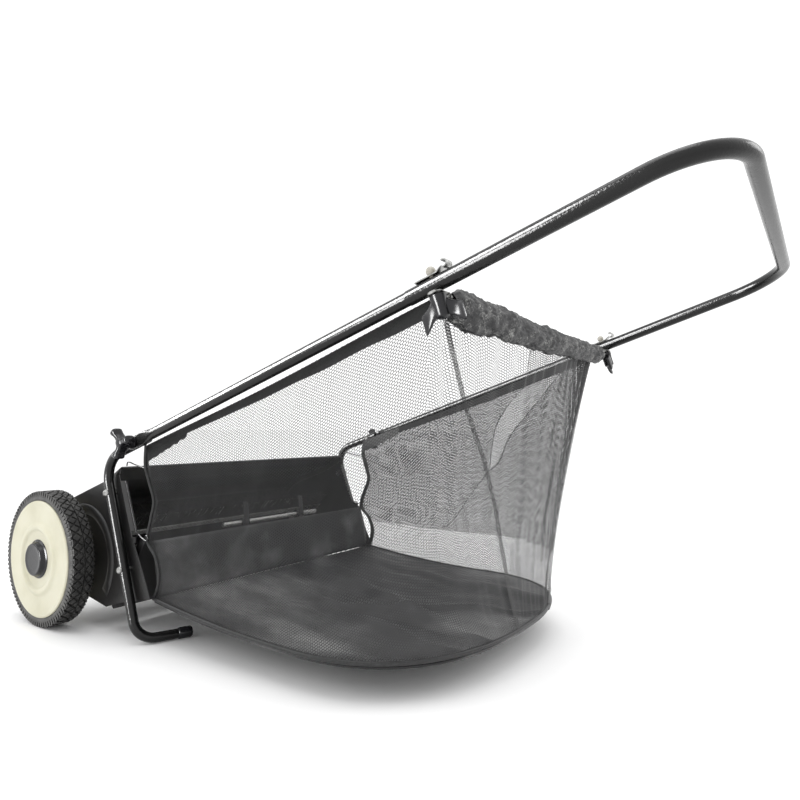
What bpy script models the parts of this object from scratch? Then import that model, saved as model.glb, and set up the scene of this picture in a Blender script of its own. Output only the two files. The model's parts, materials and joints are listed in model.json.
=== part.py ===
"""Push lawn sweeper: a hand-pushed leaf collector on two wheels and two resting feet.

The brush reel under the hood is geared up from both wheels and throws leaves back over the
baffle into the open hopper bag, which hangs between the two handle tubes.

Metres, +Z up. The sweeper drives towards -Y, its left side is +X, and it stands on the ground
at z = 0 with the middle of its length and width at the origin.
"""

import math

import bmesh
import bpy
from mathutils import Matrix, Vector

# ---- driving dimensions ---------------------------------------------------------------------
WHEEL_RADIUS = 0.108
HANDLE_REACH = 1.0099            # from the wheel axle back to the rear of the grip
AXLE_Y = -(HANDLE_REACH - WHEEL_RADIUS) / 2
GAP = 0.0003                     # between touching pieces

HANDLE_SLOPE = math.radians(17.95)
HANDLE_FOOT_Z = 0.2304           # height of the handle line straight above the axle
TUBE_X = 0.2839                  # middle of each handle tube
LOWER_TUBE_R = 0.0077
SWAGED_R = 0.0071                # lower tube's end, pushed into the upper tube
UPPER_TUBE_R = 0.00845
UPPER_WALL = 0.001
TONGUE_X = 0.2866                # middle of the flattened front end
PIVOT_ALONG = 0.2184             # distances along the handle line
JOINT_ALONG = 0.728
SWAGE_END_ALONG = 0.800
BOLT_ALONG = 0.762
GRIP_ALONG = (HANDLE_REACH - UPPER_TUBE_R) / math.cos(HANDLE_SLOPE)
GRIP_CORNER_R = 0.078
TONGUE_T = 0.003
EYE_T = 0.003                    # the rear rod's flattened ends, under the tubes
EYE_ABOVE = -(UPPER_TUBE_R + GAP + EYE_T / 2)
STRIP_T = 0.0014                 # the tie clips' strip, on top of the tubes
STRIP_ABOVE = UPPER_TUBE_R + GAP

PLATE_OUTER_X = 0.268
PLATE_T = 0.0016
PLATE_CORNER = (0.1389, 0.2459)  # upper rear corner of the end plate, behind the axle and up
PLATE_MIDDLE = (0.1768, 0.154)
PLATE_HEEL = (0.2276, 0.0678)
FLANGE_X = 0.258
SHEET_T = 0.0012
HOOD_HALF_WIDTH = 0.2655
BAFFLE_HALF_WIDTH = 0.2595
END_FLANGE = 0.012

BRUSH_Y = 0.045
BRUSH_Z = 0.108
BRUSH_R = 0.095
SHAFT_R = 0.006
BEARING_R = 0.0101               # the bearing's neck, in the end plate
SPIDER_X = 0.22
HOLDER_LENGTH = 0.50
STRIP_LENGTH = 0.496
HOOD_R = 0.1035
HOOD_FRONT_ANGLE = math.radians(215)
HOOD_ROOF_ANGLE = math.radians(108.6)
HOOD_KINK = (0.0963, 0.2345)
HOOD_REAR = (0.1398, 0.2584)
RAMP_LOW_ANGLE = math.radians(-45)
RAMP_TOP_ANGLE = math.radians(-35)
RAMP_LIP_Y = 0.1985

LEG_X = 0.2775
LEG_R = 0.0073
LEG_WALL = 0.0012
LEG_CORNER = (0.1146, 0.2675)
LEG_SLOPE = Vector((0.3505, -0.9366))
LEG_BEND_R = 0.040
LEG_END_ALONG = 0.240
FOOT_END = (0.205, 0.2385)       # x and distance behind the axle
FOOT_BEND_R = 0.030
FOOT_CAP_R = 0.0088
FOOT_CAP_SIDES = 12
FOOT_CAP_LENGTH = 0.022
FOOT_Z = FOOT_CAP_R * math.cos(math.pi / FOOT_CAP_SIDES)
LEG_BOLT_HEIGHTS = {"upper": 0.2186, "lower": 0.1067}

TYRE_OUTER_X = 0.3191
TYRE_INNER_X = 0.286
HUB_R = 0.0925
AXLE_R = 0.008
AXLE_NECK_R = 0.006              # where the stub axle passes through the end plate
WEB_X = 0.313                    # inner face of the wheel's web
BOSS_R = 0.016
BOSS_IN_X = 0.2745
RING_TEETH = 48
PINION_TEETH = 12
GEAR_MODULE = 2 * BRUSH_Y / (RING_TEETH - PINION_TEETH)
GEAR_IN_X = 0.289
GEAR_OUT_X = 0.300

ROD_R = 0.004
BOLT_R = 0.003
BOLT_HOLE_R = 0.0034
APRON_ROD = (0.2, 0.1545)
APRON_ROD_HALF = 0.115
ROD_CLIP_X = 0.068

BAG_T = 0.0012
BAG_SIDE_X = 0.258
BAG_TOP_X = 0.2655
BAG_FLOOR_Z = 0.048
BAG_FRONT_Y = 0.222
BAG_FRONT_RISE = 0.019
BAG_ROUND_Y = 0.50               # where the plan outline starts to round in
BAG_ROUND_DEPTH = 0.198
BAG_ROUNDNESS = 2.5
BAG_TOP_START = 0.214            # along the handle line
BAG_TOP_END = 0.745
SEAM_TOP = (0.256, 0.724, 0.420)
SEAM_MIDDLE = (0.200, 0.676, 0.200)
SEAM_FOOT_X = 0.115
SEAM_INSET = 0.0025

KNOB_BORE_DEPTH = 0.020
KNOB_HUB_R = 0.0075
KNOB_HUB_HEIGHT = 0.024
KNOB_THICKNESS = 0.009
KNOB_OUTLINE = [
    (0.0060, 0.0040), (0.0085, 0.0120), (0.0230, 0.0135), (0.0235, 0.0330), (0.0210, 0.0345),
    (0.0120, 0.0300), (0.0060, 0.0240),
]

SIDES = {"left": 1, "right": -1}
COLOURS = {
    "black_tube": ((0.012, 0.012, 0.013), 0.25, 0.6),
    "black_sheet": ((0.016, 0.016, 0.017), 0.40, 0.4),
    "black_plastic": ((0.02, 0.02, 0.021), 0.30, 0.0),
    "cream_plastic": ((0.78, 0.75, 0.63), 0.45, 0.0),
    "rubber": ((0.025, 0.025, 0.026), 0.70, 0.0),
    "zinc": ((0.66, 0.66, 0.64), 0.35, 1.0),
    "white_plastic": ((0.80, 0.79, 0.74), 0.40, 0.0),
    "bristle": ((0.05, 0.05, 0.05), 0.80, 0.0),
    "mesh_fabric": ((0.05, 0.05, 0.052), 0.75, 0.0),
    "vinyl": ((0.035, 0.035, 0.038), 0.55, 0.0),
}

# ---- scene, materials and placing -----------------------------------------------------------
for old in list(bpy.data.objects):
    bpy.data.objects.remove(old)

parts = bpy.data.collections.new("push_lawn_sweeper")
cutters = bpy.data.collections.new("cutters")
for collection in (parts, cutters):
    bpy.context.scene.collection.children.link(collection)
cutters.hide_render = True


def make_material(name, colour, roughness, metallic):
    material = bpy.data.materials.new(name)
    material.use_nodes = True
    shader = material.node_tree.nodes["Principled BSDF"]
    shader.inputs["Base Color"].default_value = (*colour, 1)
    shader.inputs["Roughness"].default_value = roughness
    shader.inputs["Metallic"].default_value = metallic
    return material


materials = {name: make_material(name, *look) for name, look in COLOURS.items()}


def behind_axle(x, y, z):
    """The point x from the middle, y behind the wheel axle and z above the ground."""
    return Vector((x, AXLE_Y + y, z))


def on_handle(x, along, above=0.0):
    """The point at a distance along the handle line, and square above it."""
    y = along * math.cos(HANDLE_SLOPE) - above * math.sin(HANDLE_SLOPE)
    z = HANDLE_FOOT_Z + along * math.sin(HANDLE_SLOPE) + above * math.cos(HANDLE_SLOPE)
    return behind_axle(x, y, z)


HANDLE_DIRECTION = Vector((0, math.cos(HANDLE_SLOPE), math.sin(HANDLE_SLOPE)))
HANDLE_UP = Vector((0, -math.sin(HANDLE_SLOPE), math.cos(HANDLE_SLOPE)))


def facing(origin, x_direction, z_direction):
    """A placing whose local X and Z point the given ways."""
    z_axis = z_direction.normalized()
    x_axis = (x_direction - z_axis * x_direction.dot(z_axis)).normalized()
    turn = Matrix((x_axis, z_axis.cross(x_axis), z_axis)).transposed()
    return Matrix.Translation(origin) @ turn.to_4x4()


def sideways(x, y, z, side):
    """A placing on a crosswise axis: local +Z points outwards on that side."""
    return facing(behind_axle(side * x, y, z), Vector((0, 0, -1)), Vector((side, 0, 0)))


def add_object(name, data, colour, placing=None, collection=parts):
    obj = bpy.data.objects.new(name, data)
    collection.objects.link(obj)
    obj.matrix_world = placing or Matrix()
    if colour:
        data.materials.append(materials[colour])
    if collection is cutters:
        obj.hide_render = True
        obj.display_type = "WIRE"
    return obj


def shade_round(obj):
    obj.data.shade_smooth()
    obj.data.set_sharp_from_angle(angle=math.radians(35))


def frozen(obj):
    """The object as it evaluates now, turned into a plain closed mesh of the same name."""
    bpy.context.view_layer.update()
    graph = bpy.context.evaluated_depsgraph_get()
    mesh = bpy.data.meshes.new_from_object(obj.evaluated_get(graph))
    cleaned = bmesh.new()
    cleaned.from_mesh(mesh)
    bmesh.ops.remove_doubles(cleaned, verts=cleaned.verts, dist=0.00001)
    cleaned.to_mesh(mesh)
    cleaned.free()
    name, placing, home = obj.name, obj.matrix_world.copy(), obj.users_collection[0]
    bpy.data.objects.remove(obj)
    return add_object(name, mesh, None, placing, home)


# ---- shapes -----------------------------------------------------------------------------------
def turned(name, profile, colour, placing, steps=24, closed=True, collection=parts):
    """A turned piece. profile holds (radius, height), down the outer side first."""
    mesh = bpy.data.meshes.new(name)
    count = len(profile)
    edges = [(i, i + 1) for i in range(count - 1)]
    if closed:
        edges.append((count - 1, 0))
    mesh.from_pydata([(radius, 0, height) for radius, height in profile], edges, [])
    obj = add_object(name, mesh, colour, placing, collection)
    screw = obj.modifiers.new("turn", "SCREW")
    screw.steps = screw.render_steps = steps
    screw.use_merge_vertices = True
    screw.merge_threshold = 0.00001
    screw.use_smooth_shade = True
    return obj


def pin_profile(radius, low, high):
    return [(0, high), (radius, high), (radius, low), (0, low)]


def cut(obj, radius, low, high, placing, steps=12):
    """Bores a round hole along the placing's Z, from low to high."""
    profile = pin_profile(radius, low, high)
    cutter = turned(obj.name + "_bore", profile, None, placing, steps, False, cutters)
    hole = obj.modifiers.new("bore", "BOOLEAN")
    hole.operation = "DIFFERENCE"
    hole.object = cutter


def joined(obj, other):
    union = obj.modifiers.new("join", "BOOLEAN")
    union.operation = "UNION"
    union.object = other


def round_corner(before, corner, after, radius, steps=6):
    """Points of the arc that rounds off a corner of a path."""
    back = (before - corner).normalized()
    ahead = (after - corner).normalized()
    half = back.angle(ahead) / 2
    centre = corner + (back + ahead).normalized() * radius / math.sin(half)
    start = corner + back * radius / math.tan(half) - centre
    end = corner + ahead * radius / math.tan(half) - centre
    turn = start.angle(end)
    axis = start.cross(end)
    return [centre + Matrix.Rotation(turn * i / steps, 3, axis) @ start for i in range(steps + 1)]


def bar(name, points, radius, colour, caps=True):
    """A round bar along a path: a curve with a bevel."""
    curve = bpy.data.curves.new(name, "CURVE")
    curve.dimensions = "3D"
    curve.bevel_depth = radius
    curve.bevel_resolution = 4
    curve.render_resolution_u = 0
    curve.use_fill_caps = caps
    spline = curve.splines.new("POLY")
    spline.points.add(len(points) - 1)
    for place, point in zip(spline.points, points):
        place.co = (*point, 1)
    return add_object(name, curve, colour)


def tube(name, points, radius, wall, colour):
    """A hollow tube along a path, open at both ends."""
    obj = frozen(bar(name, points, radius, colour, caps=False))
    shade_round(obj)
    solidify = obj.modifiers.new("wall", "SOLIDIFY")
    solidify.thickness = wall
    solidify.offset = -1
    return obj


def flat(name, outlines, thickness, colour, placing, collection=parts):
    """A flat plate from its outline and the outlines of its holes, around the placing's XY."""
    curve = bpy.data.curves.new(name, "CURVE")
    curve.dimensions = "2D"
    curve.fill_mode = "BOTH"
    curve.extrude = thickness / 2
    curve.render_resolution_u = 0
    for outline in outlines:
        spline = curve.splines.new("POLY")
        spline.use_cyclic_u = True
        spline.points.add(len(outline) - 1)
        for place, point in zip(spline.points, outline):
            place.co = (*point, 0, 1)
    return frozen(add_object(name, curve, colour, placing, collection))


def circle(radius, centre=(0.0, 0.0), steps=16):
    angles = [2 * math.pi * i / steps for i in range(steps)]
    return [
        (centre[0] + radius * math.cos(a), centre[1] + radius * math.sin(a)) for a in angles
    ]


def upright(x):
    """A placing for flat pieces drawn as (behind the axle, height), square to X."""
    return facing(behind_axle(x, 0, 0), Vector((0, 1, 0)), Vector((1, 0, 0)))


def surface(name, rows, thickness, colour):
    """A sheet through a grid of points, given its thickness by Solidify."""
    mesh = bpy.data.meshes.new(name)
    width = len(rows[0])
    faces = []
    for i in range(len(rows) - 1):
        for j in range(width - 1):
            low, high = i * width + j, (i + 1) * width + j
            faces.append((low, low + 1, high + 1, high))
    mesh.from_pydata([tuple(point) for row in rows for point in row], [], faces)
    obj = add_object(name, mesh, colour)
    shade_round(obj)
    solidify = obj.modifiers.new("sheet", "SOLIDIFY")
    solidify.thickness = thickness
    solidify.offset = 0
    return obj


def skin(name, rings, colour):
    """A closed solid lofted through a chain of unlike rings, capped at its two ends."""
    count = len(rings[0])
    points = [tuple(point) for ring in rings for point in ring]
    faces = [tuple(reversed(range(count)))]
    for i in range(len(rings) - 1):
        for j in range(count):
            near, far = i * count, (i + 1) * count
            after = (j + 1) % count
            faces.append((near + j, near + after, far + after, far + j))
    faces.append(tuple(range(len(points) - count, len(points))))
    mesh = bpy.data.meshes.new(name)
    mesh.from_pydata(points, [], faces)
    tidy = bmesh.new()
    tidy.from_mesh(mesh)
    bmesh.ops.recalc_face_normals(tidy, faces=tidy.faces)
    tidy.to_mesh(mesh)
    tidy.free()
    obj = add_object(name, mesh, colour)
    shade_round(obj)
    return obj


# ---- frame: end plates, hood and baffle --------------------------------------------------------
def around_brush(radius, angle):
    return (BRUSH_Y + radius * math.cos(angle), BRUSH_Z + radius * math.sin(angle))


def hood_profile(inset=0.0, steps=9):
    """Hood section from its front lip over the brush to its rear edge, set inwards by inset."""
    radius = HOOD_R - inset
    turn = HOOD_ROOF_ANGLE - HOOD_FRONT_ANGLE
    points = [around_brush(radius, HOOD_FRONT_ANGLE + turn * i / steps) for i in range(steps + 1)]
    for y, z in (HOOD_KINK, HOOD_REAR):
        points.append((y + 0.4 * inset, z - 0.92 * inset))
    return points


def ramp_profile(inset=0.0, steps=3):
    """Baffle section: an arc under the brush, then straight up to the lip."""
    radius = HOOD_R - inset
    turn = RAMP_TOP_ANGLE - RAMP_LOW_ANGLE
    points = [around_brush(radius, RAMP_LOW_ANGLE + turn * i / steps) for i in range(steps + 1)]
    foot_y, foot_z = points[-1]
    rise = -1 / math.tan(RAMP_TOP_ANGLE)
    lip_y = RAMP_LIP_Y - 0.8 * inset
    points.append((lip_y, foot_z + (lip_y - foot_y) * rise))
    return points


def folded_sheet(name, outer, inner, half_width):
    """A bent sheet across the machine, with a folded flange at each end."""
    rows = []
    for x, profile in (
        (-half_width, inner), (-half_width, outer), (half_width, outer), (half_width, inner),
    ):
        rows.append([behind_axle(x, y, z) for y, z in profile])
    surface(name, rows, SHEET_T, "black_sheet")


def make_hood():
    outer = hood_profile(SHEET_T / 2)
    inner = hood_profile(SHEET_T / 2 + END_FLANGE)
    folded_sheet("hood", outer, inner, HOOD_HALF_WIDTH)


def make_baffle():
    outer = ramp_profile()
    inner = ramp_profile(END_FLANGE)
    folded_sheet("rear_baffle", outer, inner, BAFFLE_HALF_WIDTH)


def leg_line_y(height):
    return LEG_CORNER[0] + (LEG_CORNER[1] - height) * LEG_SLOPE[0] / -LEG_SLOPE[1]


def plate_outline():
    """End plate seen square on: arc at the front, roof line above, hook on the rear edge."""
    points = hood_profile(SHEET_T + GAP)[:-1]
    hook_y, hook_z = PLATE_MIDDLE
    points += [PLATE_CORNER, PLATE_MIDDLE]
    points += [(hook_y + 0.010, hook_z), (hook_y + 0.011, hook_z - 0.008)]
    points += [(hook_y + 0.006, hook_z - 0.008), PLATE_HEEL]
    points += [(0.1503, 0.051), (0.1118, 0.0385), (0.0644, 0.0460)]
    return points


def make_end_plate(side_name, side):
    middle_x = side * (PLATE_OUTER_X - PLATE_T / 2)
    holes = [
        circle(AXLE_NECK_R + 2 * GAP, (0, WHEEL_RADIUS)),
        circle(BEARING_R + 0.0004, (BRUSH_Y, BRUSH_Z)),
    ]
    for height in LEG_BOLT_HEIGHTS.values():
        holes.append(circle(BOLT_HOLE_R, (leg_line_y(height), height), 12))
    name = "end_plate_" + side_name
    plate = flat(name, [plate_outline(), *holes], PLATE_T, "black_sheet", upright(middle_x))
    corner = Vector(PLATE_CORNER).lerp(Vector(PLATE_MIDDLE), 0.1)
    foot = Vector(PLATE_CORNER).lerp(Vector(PLATE_MIDDLE), 0.92)
    across = Vector((foot.y - corner.y, corner.x - foot.x)).normalized() * PLATE_T
    strip = [corner, foot, foot + across, corner + across]
    width = PLATE_OUTER_X - FLANGE_X - PLATE_T / 2
    place = upright(side * (FLANGE_X + width / 2))
    outline = [tuple(point) for point in strip]
    joined(plate, flat(name + "_flange", [outline], width, None, place, cutters))


def make_leg(side_name, side):
    end = on_handle(side * LEG_X, LEG_END_ALONG)
    corner = behind_axle(side * LEG_X, *LEG_CORNER)
    ankle = behind_axle(side * LEG_X, leg_line_y(FOOT_Z), FOOT_Z)
    toe = behind_axle(side * FOOT_END[0], FOOT_END[1], FOOT_Z)
    path = [end, *round_corner(end, corner, ankle, LEG_BEND_R)]
    path += [*round_corner(corner, ankle, toe, FOOT_BEND_R), toe]
    leg = tube("leg_" + side_name, path, LEG_R, LEG_WALL, "black_tube")
    for height in LEG_BOLT_HEIGHTS.values():
        cut(leg, BOLT_HOLE_R, -0.02, 0.02, sideways(LEG_X, leg_line_y(height), height, side))
    pivot = on_handle(side * LEG_X, PIVOT_ALONG)
    cut(leg, BOLT_HOLE_R, -0.02, 0.02, facing(pivot, Vector((0, 0, 1)), Vector((side, 0, 0))))

    inwards = toe - ankle
    facet_turn = Matrix.Rotation(math.pi / FOOT_CAP_SIDES, 3, inwards.normalized())
    end_wall = 0.003
    cap_start = toe + inwards.normalized() * (end_wall - FOOT_CAP_LENGTH + GAP)
    placing = facing(cap_start, facet_turn @ Vector((0, 0, -1)), inwards)
    bore_r = LEG_R + 0.0004
    profile = [
        (0, FOOT_CAP_LENGTH), (0.8 * FOOT_CAP_R, FOOT_CAP_LENGTH),
        (FOOT_CAP_R, FOOT_CAP_LENGTH - 0.0025), (FOOT_CAP_R, 0), (bore_r, 0),
        (bore_r, FOOT_CAP_LENGTH - end_wall), (0, FOOT_CAP_LENGTH - end_wall),
    ]
    turned("foot_cap_" + side_name, profile, "black_plastic", placing, FOOT_CAP_SIDES, False)


def make_leg_bolts(side_name, side):
    """Dome-headed bolts through each leg and the end plate, with the nut inside."""
    for level, height in LEG_BOLT_HEIGHTS.items():
        seat = LEG_X + LEG_R + GAP
        nut_x = PLATE_OUTER_X - PLATE_T - GAP
        profile = [
            (0, seat + 0.0042), (0.003, seat + 0.0038), (0.0048, seat + 0.0015), (0.005, seat),
            (BOLT_R, seat), (BOLT_R, nut_x), (0.0055, nut_x), (0.0055, nut_x - 0.005),
            (0, nut_x - 0.005),
        ]
        placing = sideways(0, leg_line_y(height), height, side)
        turned(f"leg_bolt_{level}_{side_name}", profile, "zinc", placing, 12, False)


# ---- wheels ------------------------------------------------------------------------------------
def gear_outline(teeth, tip_r, root_r, pitch_r, slack, turn=0.0):
    """Straight-flanked teeth: each narrows from root to tip and is half a pitch at pitch_r."""
    pitch = 2 * math.pi / teeth
    flank = math.tan(math.radians(22))
    half_at_pitch = pitch / 4 - slack / pitch_r
    towards_tip = 1 if tip_r > root_r else -1
    points = []
    for i in range(teeth):
        middle = turn + i * pitch
        for radius, way in ((root_r, -1), (tip_r, -1), (tip_r, 1), (root_r, 1)):
            half = half_at_pitch - towards_tip * (radius - pitch_r) * flank / pitch_r
            angle = middle + way * half
            points.append((radius * math.cos(angle), radius * math.sin(angle)))
    return points


def make_pinion(side_name, side):
    pitch_r = GEAR_MODULE * PINION_TEETH / 2
    outline = gear_outline(
        PINION_TEETH, pitch_r + 0.8 * GEAR_MODULE, pitch_r - 1.05 * GEAR_MODULE, pitch_r, 0.0001
    )
    middle = side * (GEAR_IN_X + GEAR_OUT_X) / 2
    placing = facing(behind_axle(middle, BRUSH_Y, BRUSH_Z), Vector((0, 1, 0)), Vector((1, 0, 0)))
    bore = circle(SHAFT_R + GAP, steps=16)
    thickness = GEAR_OUT_X - GEAR_IN_X
    flat("pinion_" + side_name, [outline, bore], thickness, "zinc", placing)


def make_wheel(side_name, side):
    placing = sideways(0, 0, WHEEL_RADIUS, side)
    face = TYRE_OUTER_X - 0.0001
    rim_in = TYRE_INNER_X + 0.0008
    profile = [
        (AXLE_R + GAP, 0.316), (0.0275, 0.316), (0.0275, face), (HUB_R, face),
        (HUB_R, rim_in), (0.088, rim_in), (0.088, WEB_X),
        (BOSS_R, WEB_X), (BOSS_R, BOSS_IN_X), (AXLE_R + GAP, BOSS_IN_X),
    ]
    hub = turned("wheel_hub_" + side_name, profile, "cream_plastic", placing, 40)

    pitch_r = GEAR_MODULE * RING_TEETH / 2
    gap_turn = math.pi / RING_TEETH
    teeth = gear_outline(
        RING_TEETH, pitch_r - 0.8 * GEAR_MODULE, pitch_r + 1.05 * GEAR_MODULE, pitch_r, 0.0001,
        gap_turn,
    )
    start = GEAR_IN_X - 0.0005
    end = WEB_X + 0.0008
    middle = side * (start + end) / 2
    place = facing(behind_axle(middle, 0, WHEEL_RADIUS), Vector((0, 1, 0)), Vector((1, 0, 0)))
    ring = [circle(0.0668, steps=40), teeth]
    joined(hub, flat("ring_gear_" + side_name, ring, end - start, None, place, cutters))

    seat_r = HUB_R + GAP
    profile = [
        (seat_r, TYRE_OUTER_X - 0.0012), (0.0990, TYRE_OUTER_X), (0.1055, TYRE_OUTER_X - 0.003),
        (WHEEL_RADIUS, TYRE_OUTER_X - 0.008), (WHEEL_RADIUS, TYRE_INNER_X + 0.008),
        (0.1055, TYRE_INNER_X + 0.003), (0.0990, TYRE_INNER_X), (seat_r, TYRE_INNER_X + 0.0012),
    ]
    turned("tyre_" + side_name, profile, "rubber", placing, 48)

    profile = [
        (0, 0.3266), (0.012, 0.3261), (0.022, 0.3243), (0.0290, 0.3206), (0.0300, 0.3194),
        (0.0268, 0.3194), (0.0268, 0.3163), (0.0245, 0.3163), (0.0245, 0.3204),
        (0.018, 0.3228), (0, 0.3240),
    ]
    turned("hub_cap_" + side_name, profile, "black_plastic", placing, 24, False)

    nut_x = PLATE_OUTER_X - PLATE_T - GAP
    profile = [
        (0, 0.3212), (AXLE_R - 0.001, 0.3212), (AXLE_R, 0.3202), (AXLE_R, PLATE_OUTER_X + 0.0034),
        (0.018, PLATE_OUTER_X + 0.0034), (0.018, PLATE_OUTER_X + GAP),
        (AXLE_NECK_R, PLATE_OUTER_X + GAP), (AXLE_NECK_R, nut_x), (0.010, nut_x),
        (0.010, nut_x - 0.0061), (0, nut_x - 0.0061),
    ]
    turned("stub_axle_" + side_name, profile, "zinc", placing, 16, False)
    clip = [(AXLE_R + GAP, 0.3186), (0.0125, 0.3186), (0.0125, 0.3168), (AXLE_R + GAP, 0.3168)]
    turned("axle_clip_" + side_name, clip, "zinc", placing, 16)


# ---- brush reel --------------------------------------------------------------------------------
def make_brush_reel():
    centre = behind_axle(0, BRUSH_Y, BRUSH_Z)
    shaft_half = GEAR_OUT_X + 0.001
    placing = facing(centre, Vector((0, 0, -1)), Vector((1, 0, 0)))
    profile = pin_profile(SHAFT_R, -shaft_half, shaft_half)
    turned("brush_shaft", profile, "zinc", placing, 12, False)

    arm_r, arm_half, hub_r = 0.0495, 0.0065, 0.014
    for side_name, side in SIDES.items():
        outline = []
        for i in range(4):
            turn = Matrix.Rotation(math.pi / 4 + i * math.pi / 2, 2)
            for point in ((hub_r, -arm_half), (arm_r, -arm_half), (arm_r, arm_half)):
                outline.append(tuple(turn @ Vector(point)))
        middle = centre + Vector((side * SPIDER_X, 0, 0))
        place = facing(middle, Vector((0, 1, 0)), Vector((1, 0, 0)))
        bore = circle(SHAFT_R + GAP, steps=12)
        flat("brush_spider_" + side_name, [outline, bore], 0.003, "zinc", place)

    base, rim, wall, inner = 0.0498, 0.061, 0.0014, 0.0050
    channel = [
        (base, -inner - wall), (rim, -inner - wall), (rim, -inner), (base + wall, -inner),
        (base + wall, inner), (rim, inner), (rim, inner + wall), (base, inner + wall),
    ]
    strip = [
        (base + wall + GAP, -0.0045), (BRUSH_R, -0.0065), (BRUSH_R, 0.0065),
        (base + wall + GAP, 0.0045),
    ]
    for i in range(4):
        angle = math.pi / 4 + i * math.pi / 2
        outwards = Vector((0, math.cos(angle), math.sin(angle)))
        place = facing(centre, outwards, Vector((1, 0, 0)))
        flat(f"brush_holder_{i + 1}", [channel], HOLDER_LENGTH, "zinc", place)
        flat(f"bristle_strip_{i + 1}", [strip], STRIP_LENGTH, "bristle", place)


def make_brush_bearing(side_name, side):
    out_x = PLATE_OUTER_X + GAP
    bore_r = SHAFT_R + 0.0004
    profile = [
        (bore_r, out_x + 0.0024), (0.018, out_x + 0.0024), (0.018, out_x), (BEARING_R, out_x),
        (BEARING_R, out_x - 0.008), (bore_r, out_x - 0.008),
    ]
    placing = sideways(0, BRUSH_Y, BRUSH_Z, side)
    turned("brush_bearing_" + side_name, profile, "black_plastic", placing, 20)


# ---- handle ------------------------------------------------------------------------------------
def make_lower_handle(side_name, side):
    """Lower tube: flat tongue at the pivot, round tube, end swaged to fit the upper tube."""
    shape = [
        # along, middle x, half width across X, half height, squareness
        (0.2045, TONGUE_X, TONGUE_T / 2, 0.0060, 0.5), (0.2085, TONGUE_X, TONGUE_T / 2, 0.0090, 0.5),
        (0.2440, TONGUE_X, TONGUE_T / 2, 0.0090, 0.5), (0.2520, 0.2858, 0.0034, 0.0086, 0.7),
        (0.2640, TUBE_X, LOWER_TUBE_R, LOWER_TUBE_R, 1.0),
        (JOINT_ALONG - 4 * GAP, TUBE_X, LOWER_TUBE_R, LOWER_TUBE_R, 1.0),
        (JOINT_ALONG - GAP, TUBE_X, SWAGED_R, SWAGED_R, 1.0),
        (SWAGE_END_ALONG, TUBE_X, SWAGED_R, SWAGED_R, 1.0),
        (SWAGE_END_ALONG, TUBE_X, 0.0059, 0.0059, 1.0),
        (JOINT_ALONG, TUBE_X, 0.0059, 0.0059, 1.0),
        (JOINT_ALONG - 0.004, TUBE_X, 0.0065, 0.0065, 1.0),
        (0.2760, TUBE_X, 0.0065, 0.0065, 1.0),
    ]
    rings = []
    for along, x, across, up, square in shape:
        ring = []
        for i in range(12):
            angle = 2 * math.pi * (i + 0.5) / 12
            cos, sin = math.cos(angle), math.sin(angle)
            shift_x = across * math.copysign(abs(cos) ** square, cos)
            shift_up = up * math.copysign(abs(sin) ** square, sin)
            ring.append(on_handle(side * x + shift_x, along, shift_up))
        rings.append(ring)
    handle = skin("lower_handle_" + side_name, rings, "black_tube")
    pivot = on_handle(side * TONGUE_X, PIVOT_ALONG)
    cut(handle, BOLT_HOLE_R, -0.01, 0.01, facing(pivot, Vector((0, 0, 1)), Vector((side, 0, 0))))
    cut(handle, BOLT_HOLE_R, -0.02, 0.02, bolt_placing(side))


def bolt_placing(side):
    """The placing on the upper bolt's axis: local Z square up from the tube, X along it."""
    return facing(on_handle(side * TUBE_X, BOLT_ALONG), HANDLE_DIRECTION, HANDLE_UP)


def make_upper_handle():
    corners = [
        on_handle(TUBE_X, JOINT_ALONG), on_handle(TUBE_X, GRIP_ALONG),
        on_handle(-TUBE_X, GRIP_ALONG), on_handle(-TUBE_X, JOINT_ALONG),
    ]
    path = [corners[0], *round_corner(*corners[:3], GRIP_CORNER_R, 7)]
    path += [*round_corner(*corners[1:], GRIP_CORNER_R, 7), corners[3]]
    handle = tube("upper_handle", path, UPPER_TUBE_R, UPPER_WALL, "black_tube")
    for side in SIDES.values():
        cut(handle, BOLT_HOLE_R, -0.02, 0.02, bolt_placing(side))


def make_rear_rod():
    """Cross rod inside the bag's rear hem, its ends flattened into eyes below the tubes."""
    shape = []
    for side in (-1, 1):
        half = [
            (side * 0.262, ROD_R, ROD_R), (side * 0.272, 0.009, EYE_T / 2),
            (side * 0.290, 0.009, EYE_T / 2), (side * 0.295, 0.005, EYE_T / 2),
        ]
        shape += half if side > 0 else list(reversed(half))
    rings = []
    for x, along_half, up_half in shape:
        ring = []
        for i in range(12):
            angle = 2 * math.pi * (i + 0.5) / 12
            along = BOLT_ALONG + along_half * math.cos(angle)
            ring.append(on_handle(x, along, EYE_ABOVE + up_half * math.sin(angle)))
        rings.append(ring)
    rod = skin("rear_rod", rings, "zinc")
    for side in SIDES.values():
        cut(rod, BOLT_HOLE_R, -0.02, 0.02, bolt_placing(side))


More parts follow.
